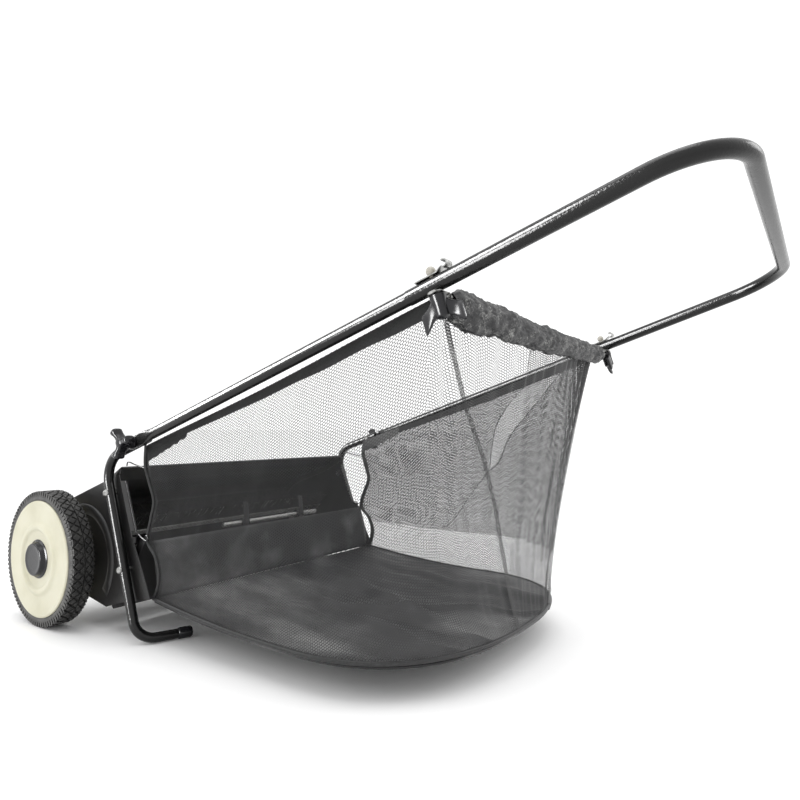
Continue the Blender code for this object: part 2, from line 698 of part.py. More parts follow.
def make_tie_clip(side_name, side):
    """Steel strip on top of the tube, its rear end curled into an open eye."""
    centre = Vector((0.0185, STRIP_ABOVE + 0.0062))
    curl = []
    for radius, way in ((0.0045, 1), (0.0045 - STRIP_T, -1)):
        arc = []
        for i in range(11):
            angle = math.radians(-150 + 27 * i)
            arc.append(tuple(centre + radius * Vector((math.cos(angle), math.sin(angle)))))
        curl += arc if way > 0 else list(reversed(arc))
    outline = [(0.0075, STRIP_ABOVE + STRIP_T), (-0.019, STRIP_ABOVE + STRIP_T)]
    outline += [(-0.019, STRIP_ABOVE), (0.0090, STRIP_ABOVE)]
    place = facing(on_handle(side * TUBE_X, BOLT_ALONG), HANDLE_DIRECTION, Vector((1, 0, 0)))
    obj = flat("tie_clip_" + side_name, [outline + curl], 0.012, "zinc", place)
    cut(obj, BOLT_HOLE_R, -0.02, 0.02, bolt_placing(side))


def make_handle_bolt(side_name, side):
    seat = STRIP_ABOVE + STRIP_T + GAP
    knob_base = EYE_ABOVE - EYE_T / 2 - GAP
    foot = knob_base - KNOB_BORE_DEPTH + 0.001
    profile = [
        (0, seat + 0.0098), (0.0034, seat + 0.0090), (0.0053, seat + 0.0062),
        (0.0053, seat + 0.0034), (0.0036, seat), (BOLT_R, seat), (BOLT_R, foot), (0, foot),
    ]
    turned("handle_bolt_" + side_name, profile, "white_plastic", bolt_placing(side), 12, False)


def make_pivot_bolt(side_name, side):
    head_x = LEG_X - LEG_R - GAP
    end_x = TONGUE_X + TONGUE_T / 2 + GAP + KNOB_BORE_DEPTH - 0.001
    profile = [
        (0, end_x), (BOLT_R, end_x), (BOLT_R, head_x), (0.0055, head_x),
        (0.0055, head_x - 0.0028), (0, head_x - 0.0028),
    ]
    pivot = on_handle(0, PIVOT_ALONG)
    placing = facing(pivot, HANDLE_DIRECTION, Vector((side, 0, 0)))
    turned("pivot_bolt_" + side_name, profile, "zinc", placing, 12, False)


def knob_mesh():
    """Wing knob standing on its base: local Z is its screw axis, local X runs along the wings."""
    outline = KNOB_OUTLINE + [(-x, height) for x, height in reversed(KNOB_OUTLINE)]
    standing = Matrix.Rotation(math.pi / 2, 4, "X")
    wings = flat("knob_pattern", [outline], KNOB_THICKNESS, "black_plastic", standing, cutters)
    stem = pin_profile(KNOB_HUB_R, 0, KNOB_HUB_HEIGHT)
    joined(wings, turned("knob_stem", stem, None, Matrix(), 16, False, cutters))
    cut(wings, BOLT_HOLE_R, -0.001, KNOB_BORE_DEPTH, Matrix())
    pattern = frozen(wings)
    pattern.data.transform(standing)
    mesh = pattern.data
    bpy.data.objects.remove(pattern)
    return mesh


def make_knobs():
    mesh = knob_mesh()
    for side_name, side in SIDES.items():
        base = on_handle(side * (TONGUE_X + TONGUE_T / 2 + GAP), PIVOT_ALONG)
        placing = facing(base, HANDLE_UP, Vector((side, 0, 0)))
        add_object("lower_knob_" + side_name, mesh, None, placing)
        base = on_handle(side * TUBE_X, BOLT_ALONG, EYE_ABOVE - EYE_T / 2 - GAP)
        placing = facing(base, HANDLE_DIRECTION, -HANDLE_UP)
        add_object("upper_knob_" + side_name, mesh, None, placing)


# ---- hopper bag --------------------------------------------------------------------------------
def through(start, middle, end, share):
    """A smooth curve through three points, the middle one at half way."""
    one = (1 - share) * (1 - 2 * share)
    two = 4 * share * (1 - share)
    three = share * (2 * share - 1)
    return one * Vector(start) + two * Vector(middle) + three * Vector(end)


def floor_height(y):
    forward = max(0.0, BAG_ROUND_Y - y) / (BAG_ROUND_Y - BAG_FRONT_Y)
    return BAG_FLOOR_Z + BAG_FRONT_RISE * forward ** 2


def floor_half_width(y):
    past = max(0.0, y - BAG_ROUND_Y) / BAG_ROUND_DEPTH
    return BAG_SIDE_X * max(0.0, 1 - past ** BAG_ROUNDNESS) ** (1 / BAG_ROUNDNESS)


def floor_y(half_width):
    """How far back the rounded plan outline is at a half width."""
    inside = 1 - (half_width / BAG_SIDE_X) ** BAG_ROUNDNESS
    return BAG_ROUND_Y + BAG_ROUND_DEPTH * inside ** (1 / BAG_ROUNDNESS)


SEAM_FOOT = (SEAM_FOOT_X, floor_y(SEAM_FOOT_X), BAG_FLOOR_Z)


def bag_outline(share):
    """The side panel's lower edge, from the front (0) to the rear seam (1)."""
    straight = 0.55
    if share < straight:
        y = BAG_FRONT_Y + (BAG_ROUND_Y - BAG_FRONT_Y) * share / straight
        return Vector((BAG_SIDE_X, y, floor_height(y)))
    end = math.acos((SEAM_FOOT_X / BAG_SIDE_X) ** (BAG_ROUNDNESS / 2))
    angle = end * (share - straight) / (1 - straight)
    x = BAG_SIDE_X * math.cos(angle) ** (2 / BAG_ROUNDNESS)
    y = BAG_ROUND_Y + BAG_ROUND_DEPTH * math.sin(angle) ** (2 / BAG_ROUNDNESS)
    return Vector((x, y, BAG_FLOOR_Z))


def bag_top_edge(share):
    along = BAG_TOP_START + (BAG_TOP_END - BAG_TOP_START) * share
    point = on_handle(BAG_TOP_X, along, -0.004)
    return Vector((point.x, point.y - AXLE_Y, point.z))


def side_point(across, down):
    """Side panel: across runs front to rear, down runs top to bottom, between four edges."""
    top, foot = bag_top_edge, bag_outline
    front_middle = (BAG_SIDE_X + 0.001, 0.207, 0.170)
    front = through(top(0), front_middle, foot(0), down)
    rear = through(top(1), SEAM_MIDDLE, SEAM_FOOT, down)
    flat_part = (1 - down) * top(across) + down * foot(across)
    bent_part = (1 - across) * front + across * rear
    corners = (1 - down) * ((1 - across) * top(0) + across * top(1))
    corners += down * ((1 - across) * foot(0) + across * foot(1))
    return flat_part + bent_part - corners


def make_bag_side(side_name, side):
    rows = []
    for i in range(11):
        across = i / 10 * (1 - 0.006)
        row = [side_point(across, j / 5) for j in range(6)]
        rows.append([behind_axle(side * point.x, point.y, point.z) for point in row])
    surface("bag_side_" + side_name, rows, BAG_T, "mesh_fabric")


def make_bag_rear():
    rows = []
    for i in range(6):
        down = i / 5
        edge = through(SEAM_TOP, SEAM_MIDDLE, SEAM_FOOT, down)
        half = edge.x - SEAM_INSET - 0.003
        row = []
        for j in range(7):
            share = j / 3 - 1
            bulge = (floor_y(0) - SEAM_FOOT[1]) * (1 - share ** 2) * down
            row.append(behind_axle(share * half, edge.y + bulge, edge.z))
        rows.append(row)
    surface("bag_rear", rows, BAG_T, "mesh_fabric")


def make_bag_bottom():
    rows = []
    steps = 9
    length = floor_y(0.06) - BAG_FRONT_Y - 0.006
    for i in range(steps):
        share = math.sin(i / (steps - 1) * math.pi / 2)
        y = BAG_FRONT_Y + 0.002 + length * share
        half = floor_half_width(y + 0.002) - 0.004
        row = [behind_axle(half * (j / 2 - 1), y, floor_height(y) - 0.001) for j in range(5)]
        rows.append(row)
    surface("bag_bottom", rows, BAG_T, "vinyl")


def make_bag_apron():
    top_y, top_z = APRON_ROD[0] + ROD_R + 0.0015, APRON_ROD[1] - 0.006
    rows = []
    for i in range(3):
        share = i / 2
        y = top_y + (BAG_FRONT_Y - 0.002 - top_y) * share
        z = top_z + (floor_height(BAG_FRONT_Y) + 0.001 - top_z) * share
        rows.append([behind_axle(x, y, z) for x in (-0.250, 0.0, 0.250)])
    surface("bag_apron", rows, BAG_T, "vinyl")


def make_bag_hem():
    """Gathered roll of mesh around the rear rod."""
    rod = on_handle(0, BOLT_ALONG, EYE_ABOVE)
    centre = (rod.y - AXLE_Y, rod.z - 0.0085)
    outline = []
    for i in range(16):
        angle = 2 * math.pi * i / 16
        outline.append((centre[0] + 0.015 * math.cos(angle), centre[1] + 0.019 * math.sin(angle)))
    hole = circle(ROD_R + 2 * GAP, (rod.y - AXLE_Y, rod.z), 12)
    flat("bag_rear_hem", [outline, hole], 0.506, "mesh_fabric", upright(0))


def make_apron_rod():
    placing = facing(behind_axle(0, *APRON_ROD), Vector((0, 0, -1)), Vector((1, 0, 0)))
    profile = pin_profile(ROD_R, -APRON_ROD_HALF, APRON_ROD_HALF)
    turned("apron_rod", profile, "zinc", placing, 12, False)
    for side_name, side in SIDES.items():
        ring = [(ROD_R + GAP, 0.008), (0.0068, 0.008), (0.0068, -0.008), (ROD_R + GAP, -0.008)]
        place = sideways(ROD_CLIP_X, *APRON_ROD, side)
        turned("rod_clip_" + side_name, ring, "black_plastic", place, 14)


# ---- assembly ----------------------------------------------------------------------------------
make_hood()
make_baffle()
make_brush_reel()
make_upper_handle()
make_rear_rod()
make_knobs()
make_bag_rear()
make_bag_bottom()
make_bag_apron()
make_bag_hem()
make_apron_rod()
for side_name, side in SIDES.items():
    make_end_plate(side_name, side)
    make_leg(side_name, side)
    make_leg_bolts(side_name, side)
    make_wheel(side_name, side)
    make_brush_bearing(side_name, side)
    make_pinion(side_name, side)
    make_lower_handle(side_name, side)
    make_tie_clip(side_name, side)
    make_handle_bolt(side_name, side)
    make_pivot_bolt(side_name, side)
    make_bag_side(side_name, side)
bpy.context.view_layer.update()
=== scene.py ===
"""Looks of the push lawn sweeper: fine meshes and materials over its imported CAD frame.

Metres, +Z up. The sweeper drives towards -Y and its left side is +X.
"""

import json
import random
from math import acos, copysign, cos, degrees, exp, pi, radians, sin, tan

import bpy
from mathutils import Matrix, Quaternion, Vector, noise

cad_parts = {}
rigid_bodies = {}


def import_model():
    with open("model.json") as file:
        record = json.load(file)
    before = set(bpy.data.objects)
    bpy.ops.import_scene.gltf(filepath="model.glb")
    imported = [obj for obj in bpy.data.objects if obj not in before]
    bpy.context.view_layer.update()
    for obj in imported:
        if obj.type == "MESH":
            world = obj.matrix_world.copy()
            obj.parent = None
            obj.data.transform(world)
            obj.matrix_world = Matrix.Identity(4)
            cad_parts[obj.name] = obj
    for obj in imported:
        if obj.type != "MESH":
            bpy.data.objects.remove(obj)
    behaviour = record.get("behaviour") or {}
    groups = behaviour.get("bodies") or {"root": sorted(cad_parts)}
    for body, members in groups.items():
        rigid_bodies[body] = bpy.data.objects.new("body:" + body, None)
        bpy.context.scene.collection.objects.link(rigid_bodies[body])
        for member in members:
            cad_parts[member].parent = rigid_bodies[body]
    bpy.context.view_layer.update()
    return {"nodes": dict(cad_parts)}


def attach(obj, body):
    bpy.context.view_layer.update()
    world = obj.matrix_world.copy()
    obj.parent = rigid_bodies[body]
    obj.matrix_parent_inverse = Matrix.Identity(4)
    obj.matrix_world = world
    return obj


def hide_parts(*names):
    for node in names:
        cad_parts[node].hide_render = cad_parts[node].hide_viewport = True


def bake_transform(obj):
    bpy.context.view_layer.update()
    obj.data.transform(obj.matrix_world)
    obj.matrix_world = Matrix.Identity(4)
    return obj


for old in list(bpy.data.objects):
    bpy.data.objects.remove(old)
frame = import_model()

# ---- dimensions shared with the CAD; y counts back from the axle, z up from the ground ----
WHEEL_RADIUS = 0.108
AXLE_Y = -0.45095
HANDLE_REACH = 1.0099
HANDLE_SLOPE = radians(17.95)
HANDLE_FOOT_Z = 0.2304
TUBE_X = 0.2839
LOWER_TUBE_R = 0.0077
SWAGED_R = 0.0071
UPPER_TUBE_R = 0.00845
TONGUE_X = 0.2866
PIVOT_ALONG = 0.2184
JOINT_ALONG = 0.728
SWAGE_END_ALONG = 0.800
BOLT_ALONG = 0.762
GRIP_ALONG = (HANDLE_REACH - UPPER_TUBE_R) / cos(HANDLE_SLOPE)
GRIP_CORNER_R = 0.078
PLATE_OUTER_X = 0.268
BRUSH_Y = 0.045
BRUSH_Z = 0.108
BRUSH_R = 0.095
HOOD_R = 0.1035
HOOD_FRONT_ANGLE = radians(215)
HOOD_ROOF_ANGLE = radians(108.6)
HOOD_KINK = (0.0963, 0.2345)
HOOD_REAR = (0.1398, 0.2584)
LEG_X = 0.2775
LEG_R = 0.0073
LEG_CORNER = (0.1146, 0.2675)
LEG_SLOPE = Vector((0.3505, -0.9366))
LEG_END_ALONG = 0.240
LEG_TOP_BEND_R = 0.040
LEG_FOOT_BEND_R = 0.030
FOOT_END = (0.205, 0.2385)
FOOT_Z = 0.0085
LEG_BOLT_HEIGHTS = {"upper": 0.2186, "lower": 0.1067}
EYE_ABOVE = -0.01025
KNOB_ABOVE = -0.01205
STRIP_TOP = 0.01045
APRON_ROD = (0.2, 0.1545)
APRON_CLIP_X = 0.068
BAG_SIDE_X = 0.258
BAG_TOP_X = 0.2655
BAG_FLOOR_Z = 0.048
BAG_FRONT_Y = 0.222
BAG_FRONT_RISE = 0.019
BAG_ROUND_Y = 0.50
BAG_ROUND_DEPTH = 0.198
BAG_ROUNDNESS = 2.5
BAG_TOP_START = 0.214
BAG_TOP_END = 0.745
SEAM_MIDDLE = (0.200, 0.676, 0.200)
SEAM_FOOT_X = 0.115
# the side panel's front edge: height, and distance behind the axle, from its two hooks
BAG_FRONT_EDGE = [
    (0.2925, 0.2048), (0.262, 0.202), (0.235, 0.212), (0.210, 0.2205), (0.185, 0.212),
    (0.163, 0.204), (0.146, 0.204), (0.128, 0.223), (0.105, 0.233), (0.085, 0.231),
    (0.067, 0.222),
]
MESH_HEM_Z = 0.119

SIDES = {"left": 1, "right": -1}
HANDLE_DIRECTION = Vector((0, cos(HANDLE_SLOPE), sin(HANDLE_SLOPE)))
HANDLE_UP = Vector((0, -sin(HANDLE_SLOPE), cos(HANDLE_SLOPE)))
ACROSS = Vector((1, 0, 0))
DOWN = Vector((0, 0, -1))


# ---- materials ----
look = {}
NET_TURN = radians(24)


def grey(value):
    return (value, value, value)


class Finish:
    """A principled material and short ways to add its procedural detail."""

    def __init__(self, name, colour, roughness, metallic=0.0, specular=0.5):
        material = bpy.data.materials.new(name)
        material.use_nodes = True
        look[name] = material
        self.tree = material.node_tree
        self.shader = self.tree.nodes["Principled BSDF"]
        self.set_sockets(self.shader, {
            "Base Color": (*colour, 1), "Roughness": roughness, "Metallic": metallic,
            "Specular IOR Level": specular,
        })
        self.normal = None
        self.place = self.add("ShaderNodeTexCoord").outputs["Object"]

    def set_sockets(self, node, sockets):
        """Sets constant values on a node's inputs, and links the inputs that get a socket."""
        for name, value in sockets.items():
            if isinstance(value, bpy.types.NodeSocket):
                self.tree.links.new(value, node.inputs[name])
            else:
                node.inputs[name].default_value = value

    def add(self, kind, sockets=None, **values):
        made = self.tree.nodes.new(kind)
        for key, value in values.items():
            setattr(made, key, value)
        self.set_sockets(made, sockets or {})
        return made

    def noise(self, scale, detail=3.0, stretch=(1, 1, 1)):
        """Noise with features about 1 / scale metres across."""
        place = self.add("ShaderNodeMapping", {"Scale": stretch, "Vector": self.place}).outputs[0]
        sockets = {"Scale": scale, "Detail": detail, "Vector": place}
        return self.add("ShaderNodeTexNoise", sockets).outputs["Fac"]

    def cells(self, scale):
        sockets = {"Scale": scale, "Vector": self.place}
        return self.add("ShaderNodeTexVoronoi", sockets, feature="F1").outputs["Distance"]

    def product(self, first, second):
        return self.add("ShaderNodeMath", {0: first, 1: second}, operation="MULTIPLY").outputs[0]

    def tint(self, source, stops):
        made = self.add("ShaderNodeValToRGB", {"Fac": source})
        elements = made.color_ramp.elements
        while len(elements) < len(stops):
            elements.new(0.5)
        for element, (where, colour) in zip(elements, stops):
            element.position = where
            element.color = (*colour, 1)
        self.set_sockets(self.shader, {"Base Color": made.outputs["Color"]})
        return self

    def roughen(self, source, low, high):
        spread = self.add("ShaderNodeMapRange", {"Value": source, "To Min": low, "To Max": high})
        self.set_sockets(self.shader, {"Roughness": spread.outputs["Result"]})
        return self

    def bump(self, source, depth, strength=1.0):
        """Relief of about depth metres; further calls stack on the last."""
        sockets = {"Strength": strength, "Distance": depth, "Height": source}
        if self.normal:
            sockets["Normal"] = self.normal
        self.normal = self.add("ShaderNodeBump", sockets).outputs["Normal"]
        self.set_sockets(self.shader, {"Normal": self.normal})
        return self

    def threads(self, pitch, width):
        """1 on the threads of a knitted net of that pitch, 0 in its holes; width is a share."""
        turned = self.add("ShaderNodeMapping", {
            "Rotation": (0, 0, NET_TURN), "Scale": (1 / pitch, 1 / pitch, 1),
            "Vector": self.add("ShaderNodeUVMap", uv_map="cloth").outputs["UV"],
        })
        net = self.add("ShaderNodeTexBrick", {
            "Scale": 1.0, "Brick Width": 1.1, "Row Height": 0.9, "Mortar Size": width / 2,
            "Mortar Smooth": 0.0, "Vector": turned.outputs["Vector"],
        }, offset=0.5)
        return net.outputs["Fac"]


# pitch of each net in metres, share of it that is thread, and grey value
NETS = {
    "mesh_open": (0.0034, 0.20, 0.016), "mesh_lower": (0.0031, 0.26, 0.018),
    "mesh_double": (0.0028, 0.44, 0.016), "mesh_strip": (0.0030, 0.31, 0.018),
    "mesh_tape": (0.0022, 0.46, 0.012),
}


def make_finishes():
    tube = Finish("black_tube", grey(0.003), 0.16, specular=0.30)
    tube.bump(tube.noise(420, 2.0), 0.0005, 0.35).bump(tube.cells(900), 0.0002, 0.20)
    tube.roughen(tube.noise(60), 0.10, 0.24)

    sheet = Finish("black_sheet", (0.008, 0.008, 0.009), 0.32, specular=0.5)
    sheet.tint(sheet.noise(9, 6.0), [(0.35, (0.006, 0.006, 0.007)), (0.75, (0.020, 0.019, 0.018))])
    sheet.bump(sheet.noise(600, 2.0), 0.0003, 0.4).roughen(sheet.noise(14, 5.0), 0.24, 0.50)

    plastic = Finish("black_plastic", (0.007, 0.007, 0.008), 0.18, specular=0.34)
    plastic.bump(plastic.noise(1400, 2.0), 0.0001, 0.3).roughen(plastic.noise(120), 0.14, 0.28)

    cream = Finish("cream_plastic", (0.62, 0.60, 0.47), 0.42, specular=0.35)
    cream.tint(
        cream.noise(16, 6.0),
        [(0.30, (0.55, 0.53, 0.40)), (0.52, (0.625, 0.605, 0.475)), (0.80, (0.67, 0.65, 0.53))],
    )
    cream.bump(cream.noise(900, 3.0), 0.0001, 0.5).roughen(cream.noise(45, 4.0), 0.34, 0.52)
    deep = {"Subsurface Weight": 0.05, "Subsurface Radius": (0.004, 0.003, 0.002)}
    cream.set_sockets(cream.shader, deep)

    rubber = Finish("rubber", (0.020, 0.020, 0.021), 0.55, specular=0.35)
    rubber.tint(rubber.noise(70, 6.0), [(0.30, grey(0.012)), (0.80, (0.050, 0.049, 0.047))])
    rubber.bump(rubber.noise(1200, 4.0), 0.0002, 0.6).roughen(rubber.noise(180, 4.0), 0.38, 0.68)

    zinc = Finish("zinc", (0.42, 0.42, 0.41), 0.28, metallic=1.0)
    zinc.tint(zinc.noise(210, 4.0), [(0.25, (0.20, 0.20, 0.19)), (0.75, (0.56, 0.56, 0.55))])
    zinc.bump(zinc.noise(700, 3.0), 0.0001, 0.5).roughen(zinc.noise(160, 4.0), 0.20, 0.42)

    ivory = Finish("white_plastic", (0.46, 0.44, 0.39), 0.40)
    ivory.tint(ivory.noise(220), [(0.3, (0.34, 0.32, 0.27)), (0.7, (0.52, 0.50, 0.45))])
    ivory.bump(ivory.noise(900), 0.0001, 0.4)

    bristle = Finish("bristle", grey(0.03), 0.6)
    bristle.tint(bristle.noise(240, 2.0), [(0.3, grey(0.015)), (0.8, (0.07, 0.068, 0.064))])
    bristle.bump(bristle.noise(2500, 1.0), 0.0001, 0.5)

    for name, (pitch, width, colour) in NETS.items():
        net = Finish(name, (colour, colour, colour * 1.05), 0.45)
        net.tint(
            net.noise(35, 5.0),
            [(0.35, grey(colour)), (0.8, (colour * 2.2, colour * 2.2, colour * 2.3))],
        )
        threads = net.threads(pitch, width)
        net.bump(threads, 0.0003, 0.6)
        net.roughen(net.noise(300), 0.35, 0.6)
        net.set_sockets(net.shader, {"Alpha": threads})

    crush = Finish("mesh_crush", (0.022, 0.022, 0.024), 0.5)
    # random dark tone, with rare light grey specks that are painted glints on the crumples
    tone_and_painted_glints = crush.product(crush.noise(75, 5.0), crush.noise(520, 4.0))
    crush.tint(
        tone_and_painted_glints,
        [(0.17, (0.004, 0.004, 0.005)), (0.28, (0.020, 0.020, 0.021)), (0.43, (0.26, 0.26, 0.25))],
    )
    weave = crush.threads(0.0024, 0.5)
    crush.bump(crush.noise(160, 5.0), 0.0016, 0.8).bump(weave, 0.0003, 0.7)

    vinyl = Finish("vinyl", (0.022, 0.022, 0.023), 0.48, specular=0.35)
    vinyl.tint(
        vinyl.noise(9, 5.0, (0.9, 0.45, 1.0)),
        [
            (0.36, (0.006, 0.006, 0.007)), (0.52, (0.020, 0.020, 0.021)),
            (0.60, (0.070, 0.070, 0.071)), (0.72, (0.200, 0.200, 0.198)),
        ],
    )
    vinyl.bump(vinyl.noise(28, 5.0, (1, 0.5, 1)), 0.004, 0.35)
    vinyl.bump(vinyl.threads(0.0011, 0.5), 0.0001, 0.5).roughen(vinyl.noise(50, 4.0), 0.30, 0.55)

    piping = Finish("piping", (0.010, 0.010, 0.011), 0.38)
    piping.tint(piping.noise(300, 3.0), [(0.3, grey(0.006)), (0.8, (0.025, 0.025, 0.026))])
    piping.bump(piping.noise(900, 2.0), 0.0003, 0.7)


make_finishes()


# ---- placing and mesh helpers ----
SHARP_ANGLE = 38


def behind_axle(x, y, z):
    return Vector((x, AXLE_Y + y, z))


def on_handle(x, along, above=0.0):
    """The point at a distance along the handle line, and square above it."""
    y = along * cos(HANDLE_SLOPE) - above * sin(HANDLE_SLOPE)
    z = HANDLE_FOOT_Z + along * sin(HANDLE_SLOPE) + above * cos(HANDLE_SLOPE)
    return behind_axle(x, y, z)


def facing(origin, x_direction, z_direction):
    """A placing whose local X and Z point the given ways."""
    z_axis = z_direction.normalized()
    x_axis = (x_direction - z_axis * x_direction.dot(z_axis)).normalized()
    turn = Matrix((x_axis, z_axis.cross(x_axis), z_axis)).transposed()
    return Matrix.Translation(origin) @ turn.to_4x4()


def sideways(y, z, side):
    """A placing on a crosswise axis: local +Z points outwards and counts from the middle."""
    return facing(behind_axle(0, y, z), DOWN, ACROSS * side)


def bolt_placing(side):
    return facing(on_handle(side * TUBE_X, BOLT_ALONG), HANDLE_DIRECTION, HANDLE_UP)


def add_mesh(name, points, faces, material, smooth=True, sharp=SHARP_ANGLE):
    mesh = bpy.data.meshes.new(name)
    mesh.from_pydata([tuple(point) for point in points], [], faces)
    mesh.update()
    obj = bpy.data.objects.new(name, mesh)
    bpy.context.scene.collection.objects.link(obj)
    mesh.materials.append(look[material])
    if smooth:
        mesh.shade_smooth()
        mesh.set_sharp_from_angle(angle=radians(sharp))
    return obj


def ring_faces(rings, count, wrap=True):
    """Quads that join each ring of count points to the next."""
    faces = []
    for i in range(rings - 1):
        for j in range(count if wrap else count - 1):
            after = (j + 1) % count
            low, high = i * count, (i + 1) * count
            faces.append((low + j, low + after, high + after, high + j))
    return faces


def grid(columns, lines, point_at):
    """Rows of points of a surface; point_at takes its two shares, each from 0 to 1."""
    return [
        [point_at(i / columns, j / lines) for j in range(lines + 1)] for i in range(columns + 1)
    ]


def blend(before, after, share):
    return before + (after - before) * share


def capped(rings, count):
    faces = ring_faces(rings, count)
    faces.append(tuple(reversed(range(count))))
    faces.append(tuple(range((rings - 1) * count, rings * count)))
    return faces


def ridden(obj, body, slot, *nodes):
    """obj rides on a body and stands for the nodes, which it hides. slot is not used."""
    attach(obj, body)
    if nodes:
        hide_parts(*nodes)
    return obj


def sweep(name, path, radius, material, sides):
    """A round bar along a path. radius is one number, or one for each point."""
    last = len(path) - 1
    radii = radius if hasattr(radius, "__len__") else [radius] * len(path)
    points = []
    across = None
    for i, centre in enumerate(path):
        ahead = (path[min(i + 1, last)] - path[max(i - 1, 0)]).normalized()
        if across is None:
            across = ahead.orthogonal()
        across = (across - ahead * across.dot(ahead)).normalized()
        up = ahead.cross(across)
        for j in range(sides):
            angle = 2 * pi * j / sides
            points.append(centre + (across * cos(angle) + up * sin(angle)) * radii[i])
    return add_mesh(name, points, capped(len(path), sides), material)


def loft(name, rings, material, sharp=SHARP_ANGLE):
    """A closed solid through a chain of rings."""
    return add_mesh(
        name, [p for ring in rings for p in ring], capped(len(rings), len(rings[0])), material,
        sharp=sharp,
    )


def lathe(name, profile, placing, material, steps, closed=False, sharp=SHARP_ANGLE):
    """A turned piece. profile holds (radius, height), down the outer side first."""
    points = []
    starts = []
    for radius, height in profile:
        starts.append(len(points))
        turns = 1 if radius == 0 else steps
        for j in range(turns):
            angle = 2 * pi * j / steps
            local = Vector((radius * cos(angle), radius * sin(angle), height))
            points.append(placing @ local)
    faces = []
    pairs = list(zip(range(len(profile) - 1), range(1, len(profile))))
    if closed:
        pairs.append((len(profile) - 1, 0))
    for i, k in pairs:
        for j in range(steps):
            after = (j + 1) % steps
            if profile[i][0] == 0:
                faces.append((starts[i], starts[k] + j, starts[k] + after))
            elif profile[k][0] == 0:
                faces.append((starts[i] + j, starts[k], starts[i] + after))
            else:
                faces.append((starts[i] + j, starts[k] + j, starts[k] + after, starts[i] + after))
    return add_mesh(name, points, faces, material, sharp=sharp)


def cloth(name, rows, material):
    """An open sheet through a grid of points, with UVs in metres along its threads."""
    count = len(rows[0])
    obj = add_mesh(
        name, [p for row in rows for p in row], ring_faces(len(rows), count, wrap=False), material,
        sharp=180,
    )
    middle = count // 2
    along = [0.0]
    for before, after in zip(rows, rows[1:]):
        along.append(along[-1] + (after[middle] - before[middle]).length)
    uvs = []
    for i, row in enumerate(rows):
        across = 0.0
        for j, point in enumerate(row):
            if j:
                across += (point - row[j - 1]).length
            uvs.append((along[i], across))
    layer = obj.data.uv_layers.new(name="cloth")
    for loop in obj.data.loops:
        layer.data[loop.index].uv = uvs[loop.vertex_index]
    return obj


def flip_if_inside_out(obj):
    """Turns the faces round if they point inwards."""
    mesh = obj.data
    volume = 0.0
    for face in mesh.polygons:
        first, *others = [mesh.vertices[index].co for index in face.vertices]
        for second, third in zip(others, others[1:]):
            volume += first.dot(second.cross(third))
    if volume < 0:
        mesh.flip_normals()


def thicken(obj, thickness, offset=0.0):
    solid = obj.modifiers.new("thickness", "SOLIDIFY")
    solid.thickness = thickness
    solid.offset = offset


def round_corner(before, corner, after, radius, steps=16):
    """Points of the arc that rounds off a corner of a path."""
    back = (before - corner).normalized()
    ahead = (after - corner).normalized()
    half = back.angle(ahead) / 2
    centre = corner + (back + ahead).normalized() * radius / sin(half)
    start = corner + back * radius / tan(half) - centre
    end = corner + ahead * radius / tan(half) - centre
    turn = start.angle(end)
    axis = start.cross(end)
    return [centre + Matrix.Rotation(turn * i / steps, 3, axis) @ start for i in range(steps + 1)]


def smooth_curve(stops, steps):
    """Points of a smooth curve through the stops."""
    stops = [Vector(stop) for stop in stops]
    padded = [2 * stops[0] - stops[1], *stops, 2 * stops[-1] - stops[-2]]
    points = []
    for i in range(steps + 1):
        share = i / steps * (len(stops) - 1)
        k = min(int(share), len(stops) - 2)
        t = share - k
        a, b, c, d = padded[k:k + 4]
        points.append(
            0.5 * (2 * b + (c - a) * t + (2 * a - 5 * b + 4 * c - d) * t ** 2
                   + (3 * b - a - 3 * c + d) * t ** 3)
        )
    return points


def superellipse(centre, x_axis, y_axis, half_x, half_y, power, count):
    """Ring of points round a centre; power 2 is an ellipse, more is squarer."""
    ring = []
    for i in range(count):
        angle = 2 * pi * (i + 0.5) / count
        right, up = cos(angle), sin(angle)
        x = half_x * copysign(abs(right) ** (2 / power), right)
        y = half_y * copysign(abs(up) ** (2 / power), up)
        ring.append(centre + x_axis * x + y_axis * y)
    return ring


# ---- camera, floor and light ----
CAMERA_PLACE = (0.8118, 0.59875, 0.3202)
CAMERA_DIRECTION = (-0.8203, -0.5701, 0.0457)
CAMERA_ROLL = radians(0.235)
LENS_MM = 27.77
FLOOR_REACH = 60.0
LAMPS = {
    # place, size and power
    "top_light": ((0.3, 0.1, 2.4), 1.6, 16), "front_light": ((1.8, -1.9, 1.5), 1.0, 8),
    "back_light": ((-1.6, 1.9, 1.7), 1.0, 8),
}
LAMP_AIM = Vector((0, -0.1, 0.2))
SOFTBOXES = {
    # middle, along its length, width and length, power, and the finishes that it shines on
    "overhead_softbox": (
        (1.30, -1.20, 1.20), (0.26, 0.78, 0.55), (0.95, 2.1), 260, ("black_tube",),
    ),
    "side_softbox": (
        (2.2, -0.65, 0.45), (0, 0, 1), (0.7, 0.9), 80, ("black_tube", "black_plastic", "rubber"),
    ),
}
SOFTBOX_AIM = Vector((0.1, 0, 0.3))


def add_lamp(name, power):
    lamp = bpy.data.lights.new(name, "AREA")
    lamp.energy = power
    light = bpy.data.objects.new(name, lamp)
    bpy.context.scene.collection.objects.link(light)
    return light


